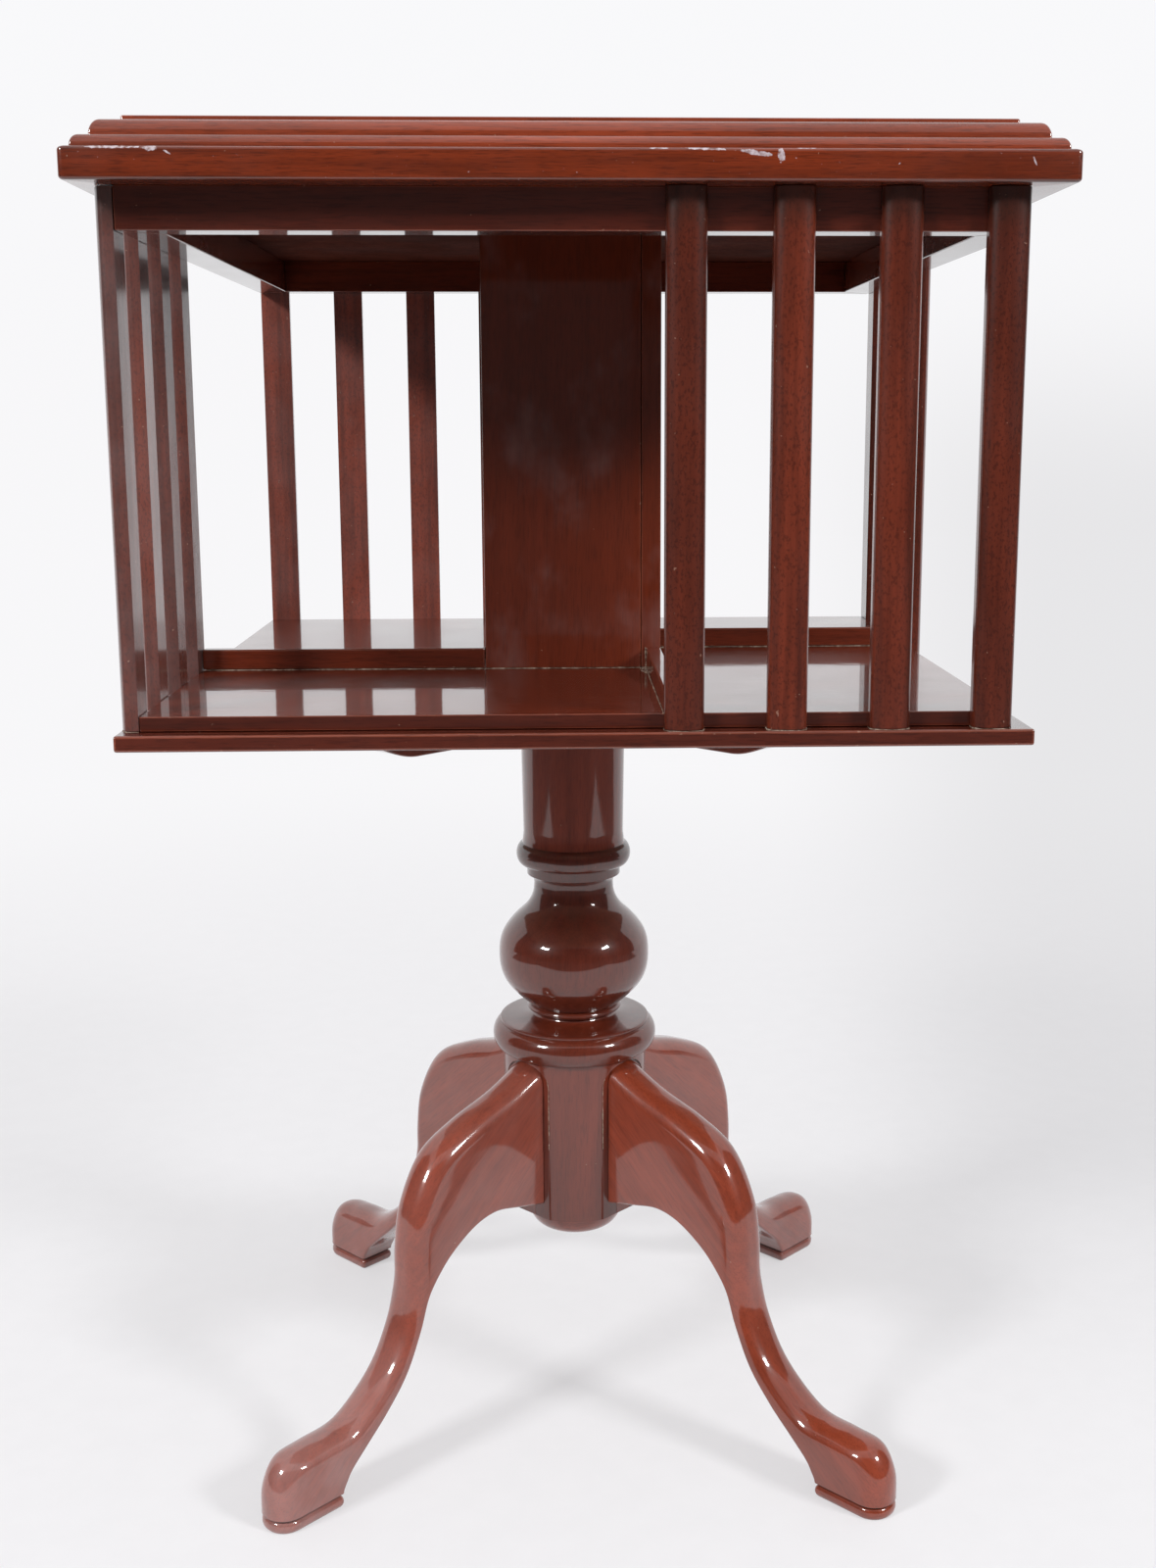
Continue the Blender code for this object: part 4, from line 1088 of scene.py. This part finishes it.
# %% [markdown]
# ## Bearer and screws
# Under the base lies a cross of two arms, halved over each other, whose shaped ends just show below the
# case. A joiner saws each arm to shape from the side, so each is an outline with a thickness. Slotted
# screws hold it to the base. The screw is modelled once, and a tree sets two on each half of each arm.

# %% The outline of an arm
ARM_HALF, ARM_REACH, ARM_OGEE, ARM_TIP, ARM_EASE = 0.0150, 0.2050, 0.0590, 0.0100, 0.0008
OGEE_STEPS = 24
arm_bottom, arm_top = [corner.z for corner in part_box("bearer_lower_arm")]


def arm_outline(notched_above):
    """The side outline of one arm, with ogee ends and its half of the cross joint."""
    lift, middle, notch = arm_top - arm_bottom - ARM_TIP, (arm_bottom + arm_top) / 2, ARM_HALF + FIT
    shares = [step / OGEE_STEPS for step in range(OGEE_STEPS + 1)]
    ogee = [(ARM_REACH - ARM_OGEE + ARM_OGEE * s, arm_bottom + lift * ease_in_out(s)) for s in shares]
    left = [(-along, z) for along, z in reversed(ogee)]
    if notched_above:
        upper = [(notch, arm_top), (notch, middle), (-notch, middle), (-notch, arm_top)]
        return left + ogee + [(ARM_REACH, arm_top)] + upper + [(-ARM_REACH, arm_top)]
    shelf = middle + FIT
    lower = [(-notch, arm_bottom), (-notch, shelf), (notch, shelf), (notch, arm_bottom)]
    return left + lower + ogee + [(ARM_REACH, arm_top), (-ARM_REACH, arm_top)]


print("arm:", round(arm_top - arm_bottom, 4), "high,", 2 * ARM_REACH, "long")

# %% The bearer arms and their screw holes
SCREW_OUT, SCREW_APART, HEAD_RADIUS, HEAD_DEPTH, HOLE_RADIUS = 0.065, 0.060, 0.0042, 0.0030, 0.0025
HOLE_BELOW = 0.002


def ring(x, y, z, radius, steps):
    """Points round a level circle."""
    angles = np.linspace(0.0, 2 * math.pi, steps, endpoint=False)
    return [(x + radius * math.cos(a), y + radius * math.sin(a), z) for a in angles]


hole_levels = (
    (HEAD_RADIUS + FIT, arm_bottom - HOLE_BELOW),
    (HEAD_RADIUS + FIT, arm_bottom + FIT),
    (HOLE_RADIUS, arm_bottom + HEAD_DEPTH),
)
holes = []
for angle in leg_angles:
    for x, y, _ in turned([(SCREW_OUT, 0.0, 0.0), (SCREW_OUT + SCREW_APART, 0.0, 0.0)], angle):
        holes.append(loft([ring(x, y, z, radius, 32) for radius, z in hole_levels]))
for number, node in enumerate(("bearer_lower_arm", "bearer_upper_arm")):
    angle = leg_angles[number]
    outline = arm_outline(number == 0)
    cheeks = [turned([(along, side, z) for along, z in outline], angle) for side in (-ARM_HALF, ARM_HALF)]
    arm = add_piece(node, *loft(cheeks), case_wood, rubbed_wood)
    ease(arm, ARM_EASE)
    cut(arm, *holes)
    lay_grain(arm, (math.cos(angle), math.sin(angle), 0.0), plank=40 + number)
    seat(arm, "case", node)

# %% [markdown]
# ## Steel
# The screws and the running gear are plain turned steel. Fine rings from the turning tool show in the
# shine, and brown tarnish lies on it in patches. The rings are far finer than a face, so they aren't cut
# into the mesh. They are noise squeezed along the axis, and the same finish suits all of these small
# pieces.

# %% Turned steel
STEEL, TARNISH = (0.46, 0.45, 0.43, 1.0), (0.20, 0.15, 0.11, 1.0)
RINGS_ACROSS, RINGS_ALONG = 60, 2600
steel, steel_wires, steel_shader = new_finish("turned_steel")
steel_place = steel_wires.place()
tool_rings = steel_wires.noise(steel_place, RINGS_ACROSS, RINGS_ACROSS / RINGS_ALONG, 2, 0.5)
tarnished = steel_wires.spread(steel_wires.noise(steel_place, 160, 1, 4), 0.48, 0.68, 0.0, 0.7)
steel_wires.fill(steel_shader, {
    "Base Color": steel_wires.blend(tarnished, STEEL, TARNISH),
    "Roughness": steel_wires.spread(tool_rings, 0.3, 0.7, 0.28, 0.46),
    "Normal": steel_wires.add("ShaderNodeBump", {"Height": tool_rings, "Strength": 0.15, "Distance": 0.0002}),
    "Metallic": 1.0,
})
print("steel ready:", len(steel.node_tree.nodes), "nodes")

# %% One screw, and the tree that sets the screws
SHANK_RADIUS, SLOT_REACH, SLOT_HALF, SLOT_DEPTH, SLOT_BELOW = 0.0022, 0.0060, 0.00045, 0.0011, 0.001
HEAD_ROUND, HEAD_FLAT, SHANK_END, POINT_END, POINT_RADIUS = 0.0003, 0.0002, 0.004, 0.006, 0.0005
head_level = arm_bottom + FIT
screw_line = (
    (HEAD_RADIUS - HEAD_ROUND, head_level),
    (HEAD_RADIUS, head_level + HEAD_FLAT),
    (HEAD_RADIUS, head_level + HEAD_ROUND),
    (SHANK_RADIUS, arm_bottom + HEAD_DEPTH),
    (SHANK_RADIUS, arm_top + SHANK_END),
    (POINT_RADIUS, arm_top + POINT_END),
)
screws = turn_piece("bearer_screws", screw_line, 32, steel)
slot_low = Vector((-SLOT_REACH, -SLOT_HALF, arm_bottom - SLOT_BELOW))
slot_high = Vector((SLOT_REACH, SLOT_HALF, arm_bottom + SLOT_DEPTH))
slot_points = block_points(slot_low, slot_high)
cut(screws, loft([slot_points[:4], slot_points[4:]]))
shade(screws, crisp=30)

screw_wires, places = geometry_tree("screw places", {"Out": "Float", "Apart": "Float", "Finish": "Material"})
pair = row_of_points(screw_wires, 2, places["Out"], places["Apart"])
slot_angle = screw_wires.add("FunctionNodeRandomValue", {"Seed": 5}, data_type="FLOAT")
largest = [socket for socket in slot_angle.inputs if socket.enabled][1]
largest.default_value = math.pi
slot_turn = upright_turn(screw_wires, [socket for socket in slot_angle.outputs if socket.enabled][0])
pair_inputs = {"Points": pair, "Instance": places["Geometry"], "Rotation": slot_turn}
pair_screws = screw_wires.add("GeometryNodeInstanceOnPoints", pair_inputs)
end_tree(screw_wires, at_four_sides(screw_wires, pair_screws, FRONT_LEFT), places["Finish"])
grow(screws, screw_wires, {"Out": SCREW_OUT, "Apart": SCREW_APART, "Finish": steel})
seat(screws, "case", *[f"bearer_screw_{number}" for number in range(1, 9)], slot="steel")

# %% [markdown]
# ## Running gear
# The spindle, its bush and the two bearing plates are right as the CAD has them, so they stay and only
# get their steel. The guide block inside the box stays too, in plain unpolished wood.

# %% Dress the CAD nodes that stay
STEEL_NODES = ("spindle", "lower_bearing_plate", "upper_bearing_plate", "spindle_bush")
for node in STEEL_NODES:
    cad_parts[node].material_slots[0].material = steel
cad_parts["guide_block"].material_slots[0].material = raw_wood
print("CAD nodes dressed:", len(STEEL_NODES), "in steel, and the guide block in raw wood")

# %% [markdown]
# ## Dust in the corners
# Years of dusting leave a pale, uneven line of dust and old wax where upright pieces meet the floor of
# the case, and most of it lies in the corners of the stops. A finer line of wax follows the heads of the
# leg seats. A mask in the wood's shader can't tell where another piece stands, but a path can be laid
# there, so the lines are a geometry tree: each path is cut into short steps, shaken a little, and swept
# with a small circle whose size comes from noise, so that the line swells and thins.

# %% The paths along the feet of the box, the stops and the slats
CLEAR, CORNER_ROWS, ROW_STEP, ROW_REACH, ROW_SHORTER = 0.0001, 5, 0.0009, 0.030, 0.004
WAX_OUT, WAX_START = SEAT_RADIUS + 0.0002, 0.178
box_low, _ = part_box("box_front")
stop_low, stop_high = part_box("stop_front")
floor_z, base_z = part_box("floor_board")[1].z + CLEAR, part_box("base_board")[1].z + CLEAR


def dust_paths():
    """Lines on the floor and base boards at the front, as lists of points."""
    face, in_face, in_stop = box_low.y, box_low.y - 2 * CLEAR, stop_low.x - 2 * CLEAR
    paths = [[(box_low.x, face, floor_z), (stop_low.x, face, floor_z)]]
    paths += [[(x, face, floor_z), (x, stop_low.y, floor_z)] for x in (stop_low.x, stop_high.x)]
    for number in range(CORNER_ROWS):
        beside, reach = stop_low.x - ROW_STEP * number, ROW_REACH - ROW_SHORTER * number
        paths.append([(beside, in_face, floor_z), (beside, face - reach, floor_z)])
    paths.append([(in_stop, in_face, floor_z), (in_stop, in_face, stop_high.z)])
    for number in range(1, 5):
        low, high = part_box(f"slat_front_{number}")
        middle = (low.x + high.x) / 2
        paths.append([(middle + x, high.y + y, base_z) for x, y in slat_outline(0.0)])
    return paths


def path_piece(name, paths):
    """Lines at the front, and turned copies for the other three sides."""
    points, edges = [], []
    for number in range(4):
        for path in paths:
            edges += [(len(points) + i, len(points) + i + 1) for i in range(len(path) - 1)]
            points += turned(path, number * QUARTER)
    print(name, "follows", len(points), "points")
    return line_piece(name, points, edges)


dust = path_piece("dust_lines", dust_paths())
seat_head = [(SEAT_HALF, WAX_START), *[(side, z) for side, z in arch if z > below], (-SEAT_HALF, WAX_START)]
wax = path_piece("wax_lines", [turned([(WAX_OUT, side, z) for side, z in seat_head], FRONT_LEFT)])

# %% Dust, as a finish and a tree
DARK_DUST, PALE_DUST = (0.13, 0.075, 0.05, 1.0), (0.40, 0.31, 0.24, 1.0)
DUST_STEP, DUST_SIDES = 0.0012, 6
dust_finish, finish_wires, dust_shader = new_finish("dust_and_wax")
crumbs = finish_wires.spread(finish_wires.noise(finish_wires.place(), 420, 1, 3), 0.35, 0.65)
dust_colour = finish_wires.blend(crumbs, DARK_DUST, PALE_DUST)
finish_wires.fill(dust_shader, {"Base Color": dust_colour, "Roughness": 0.9})

dust_sizes = {"Step": "Float", "Thickness": "Float", "Shake": "Float", "Finish": "Material"}
dust_wires, dusty = geometry_tree("dust lines", dust_sizes)
path_curve = dust_wires.add("GeometryNodeMeshToCurve", {"Mesh": dusty["Geometry"]})
step_inputs = {"Curve": path_curve, "Length": dusty["Step"]}
fine = dust_wires.add("GeometryNodeResampleCurve", step_inputs, mode="LENGTH")
where = dust_wires.add("GeometryNodeInputPosition")
shaker = dust_wires.add("ShaderNodeTexNoise", {"Vector": where, "Scale": 700.0, "Detail": 1.0})
middle = {0: shaker.outputs["Color"], 1: (0.5, 0.5, 0.5)}
centred = dust_wires.add("ShaderNodeVectorMath", middle, operation="SUBTRACT")
level = dust_wires.add("ShaderNodeVectorMath", {0: centred, 1: (1.0, 1.0, 0.0)}, operation="MULTIPLY")
offset = dust_wires.add("ShaderNodeVectorMath", {0: level, "Scale": dusty["Shake"]}, operation="SCALE")
shaken = dust_wires.add("GeometryNodeSetPosition", {"Geometry": fine, "Offset": offset})
swell = dust_wires.add("ShaderNodeTexNoise", {"Vector": where, "Scale": 160.0, "Detail": 3.0}).outputs["Fac"]
thickness = dust_wires.maths("MULTIPLY", dust_wires.spread(swell, 0.36, 0.70, 0.18, 0.9), dusty["Thickness"])
end_tree(dust_wires, swept(dust_wires, shaken, DUST_SIDES, thickness), dusty["Finish"])
for lines, body, thick, shake in ((dust, "case", 0.0005, 0.0008), (wax, "pedestal", 0.0004, 0.0004)):
    grow(lines, dust_wires, {"Step": DUST_STEP, "Thickness": thick, "Shake": shake, "Finish": dust_finish})
    grown_outward(lines)
    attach(lines, body)
    print(lines.name, len(lines.data.polygons), "faces")

# %% [markdown]
# ## Studio
# The table stands on a sheet of pale paper that rises behind it, in a dark room. Polish shows what is
# round about, so the room matters as much as the lamps. The paper behind whitens both flanks of the
# pillar. In front, the sheet ends about a metre from the table and whitens the vase's lower half, and its
# two corners make the streaks on the shaft. The dark floor and walls beyond keep the wood deep. The paper
# glows a little to the camera and to reflections, so that it is pale and still takes the table's shadow.
# Beyond the sheet's edges the camera goes on seeing paper, and only reflections and soft light see the
# bare floor.

# %% The paper
PAPER, PAPER_FIBRE = (0.700, 0.695, 0.712, 1.0), (0.720, 0.715, 0.732, 1.0)
FAR_PAPER, DIM_PAPER = (0.935, 0.93, 0.945, 1.0), (0.80, 0.795, 0.81, 1.0)
VIEW_BACK, VIEW_LEAST = 1.15, 0.5


def seen_by_eye_or_polish(wires):
    """1 for rays from the camera, from reflections and through glass."""
    path = wires.add("ShaderNodeLightPath").outputs
    eye = wires.maths("MAXIMUM", path["Is Camera Ray"], path["Is Glossy Ray"])
    return wires.maths("MAXIMUM", eye, path["Is Transmission Ray"])


paper, sheet, paper_shader = new_finish("paper_floor")
paper_place = sheet.place()
out_x, out_y, _ = sheet.parts(paper_place)
fibre = sheet.spread(sheet.noise(paper_place, 40, 1, 3), 0.3, 0.7)
paper_colour = sheet.blend(fibre, PAPER, PAPER_FIBRE)
sheet.fill(paper_shader, {"Base Color": paper_colour, "Roughness": 0.9, "Specular IOR Level": 0.1})
distance = sheet.add("ShaderNodeVectorMath", {0: paper_place}, operation="LENGTH").outputs["Value"]
depth = sheet.maths("MAXIMUM", sheet.maths("ADD", out_y, VIEW_BACK), VIEW_LEAST)
to_right = sheet.spread(sheet.maths("DIVIDE", out_x, depth), 0.10, 0.29)
dim_floor = sheet.maths("MULTIPLY", to_right, sheet.spread(out_y, -0.15, 0.25))
glow_colour = sheet.blend(dim_floor, FAR_PAPER, DIM_PAPER)
glow = sheet.add("ShaderNodeEmission", {"Color": glow_colour, "Strength": 1.0})
far_share = sheet.spread(distance, 0.3, 2.2, 0.52, 1.0)
glow_share = sheet.maths("MULTIPLY", far_share, seen_by_eye_or_polish(sheet))
whole_sheet = sheet.add("ShaderNodeMixShader", {0: glow_share, 1: paper_shader, 2: glow})
print("paper:", len(paper.node_tree.nodes), "nodes")

# %% The paper's edges and the bare floor beyond
PAPER_FRONT, PAPER_SKEW, PAPER_HALF, PAPER_RISE, SOFT_EDGE = -1.08, 0.08, 1.45, 0.45, 0.02
BARE_COLOUR, BARE_FLOOR, FLOOR_FILL = (1.0, 0.98, 1.0, 1.0), 0.10, 0.32
FLOOR_RADIUS, FLOOR_SIDES = 9.0, 96


def past(value, edge):
    """1 where a value is past an edge of the sheet, with a soft change."""
    return sheet.spread(value, edge - SOFT_EDGE, edge + SOFT_EDGE)


def short_of(value, edge):
    """1 where a value is short of an edge of the sheet, with a soft change."""
    return sheet.spread(value, edge - SOFT_EDGE, edge + SOFT_EDGE, 1.0, 0.0)


rays = sheet.add("ShaderNodeLightPath").outputs
bare_glow = sheet.maths("MULTIPLY_ADD", rays["Is Diffuse Ray"], FLOOR_FILL, BARE_FLOOR)
bare_floor = sheet.add("ShaderNodeEmission", {"Color": BARE_COLOUR, "Strength": bare_glow})
past_front = short_of(sheet.maths("MULTIPLY_ADD", out_x, PAPER_SKEW, out_y), PAPER_FRONT)
aside = past(sheet.maths("ABSOLUTE", out_x), PAPER_HALF)
past_side = sheet.maths("MULTIPLY", aside, short_of(out_y, PAPER_RISE))
past_edge = sheet.maths("MAXIMUM", past_front, past_side)
hidden = sheet.maths("MULTIPLY", past_edge, sheet.maths("SUBTRACT", 1.0, rays["Is Camera Ray"]))
whole_floor = sheet.add("ShaderNodeMixShader", {0: hidden, 1: whole_sheet, 2: bare_floor})
sheet.fill(paper.node_tree.nodes["Material Output"], {"Surface": whole_floor})

floor_ring = ring(0.0, 0.0, 0.0, FLOOR_RADIUS, FLOOR_SIDES)
floor = add_piece("paper_floor", floor_ring, [tuple(range(FLOOR_SIDES))], paper)
if floor.data.polygons[0].normal.z < 0:
    floor.data.flip_normals()
print("floor:", FLOOR_RADIUS, "m round the table, with paper to", -PAPER_FRONT, "m in front")

# %% The dark room in front of the paper
ROOM_HALF, ROOM_BACK, ROOM_HEIGHT, ROOM_LIFT = 5.0, 1.3, 4.5, 0.002


def plain_grey(name, level, glow, fill):
    """A dull grey that glows a little, and gives some more soft fill light to what isn't polished."""
    material, wires, shader = new_finish(name)
    diffuse_ray = wires.add("ShaderNodeLightPath").outputs["Is Diffuse Ray"]
    wires.fill(shader, {
        "Base Color": (level, level * 0.98, level, 1.0),
        "Roughness": 1.0,
        "Specular IOR Level": 0.0,
        "Emission Color": (1.0, 1.0, 1.0, 1.0),
        "Emission Strength": wires.maths("MULTIPLY_ADD", diffuse_ray, fill, glow),
    })
    return material


room_low, room_high = Vector((-ROOM_HALF, -ROOM_HALF, ROOM_LIFT)), Vector((ROOM_HALF, ROOM_BACK, ROOM_HEIGHT))
room_faces = [BLOCK_FACES[side] for side in (1, 2, 3, 5)]
wall_grey = plain_grey("room_wall", level=0.08, glow=0.0, fill=0.22)
ceiling_grey = plain_grey("room_ceiling", level=0.70, glow=0.36, fill=0.0)
dark_room = add_piece("dark_room", block_points(room_low, room_high), room_faces, wall_grey)
refinish(dark_room, ceiling_grey, lambda face: abs(face.normal.z) > 0.5)
dark_room.visible_camera = False
print("dark room:", 2 * ROOM_HALF, "m wide and", ROOM_HEIGHT, "m high, open at the back")

# %% [markdown]
# ## Lamps and wall
# Two small lamps, left and right of the camera and above it, give the paired highlights and the crossing
# shadows of the feet, which large ones would blur. The world stands for the wall behind: the camera and
# reflections see it as pale as the paper, a little dimmer low down on the right, and everything else gets
# an even, softer light from it.

# %% Two lamps
AIM, LAMP_WIDTH, LAMP_HEIGHT = Vector((0.0, 0.0, 0.36)), 0.80, 0.62
LAMPS = (("lamp_left", (-2.73, -2.29, 2.38), 116.0), ("lamp_right", (2.87, -2.12, 2.38), 107.0))
for name, place, watts in LAMPS:
    light = bpy.data.lights.new(name, "AREA")
    light.shape, light.size, light.size_y, light.energy = "RECTANGLE", LAMP_WIDTH, LAMP_HEIGHT, watts
    lamp = new_object(name, light)
    lamp.location = place
    lamp.rotation_euler = (AIM - Vector(place)).to_track_quat("-Z", "Y").to_euler()
print("lamps:", [light.name for light in bpy.data.lights])

# %% The pale wall behind
SOFT_LIGHT, SOFT_STRENGTH, HIGH_WALL = (1.0, 0.99, 1.0, 1.0), 0.60, (0.945, 0.945, 0.96, 1.0)
room = bpy.data.worlds.new("pale_wall")
room.use_nodes = True
scene.world = room
room_wires = Wiring(room.node_tree)
soft = room.node_tree.nodes["Background"]
room_wires.fill(soft, {"Color": SOFT_LIGHT, "Strength": SOFT_STRENGTH})
right, back, up = room_wires.parts(room_wires.add("ShaderNodeTexCoord").outputs["Generated"])
behind = room_wires.spread(back, 0.50, 0.88)
dim_side = room_wires.maths("MULTIPLY", room_wires.spread(right, 0.10, 0.28), behind)
dim_wall = room_wires.maths("MULTIPLY", dim_side, room_wires.spread(up, -0.06, 0.10, 1.0, 0.0))
low_wall = room_wires.blend(dim_wall, FAR_PAPER, DIM_PAPER)
wall_colour = room_wires.blend(room_wires.spread(up, -0.02, 0.22), low_wall, HIGH_WALL)
wall = room_wires.add("ShaderNodeBackground", {"Color": wall_colour, "Strength": 1.0})
whole_room = room_wires.add("ShaderNodeMixShader", {0: seen_by_eye_or_polish(room_wires), 1: soft, 2: wall})
room_wires.fill(room.node_tree.nodes["World Output"], {"Surface": whole_room})
print("wall:", len(room.node_tree.nodes), "nodes")
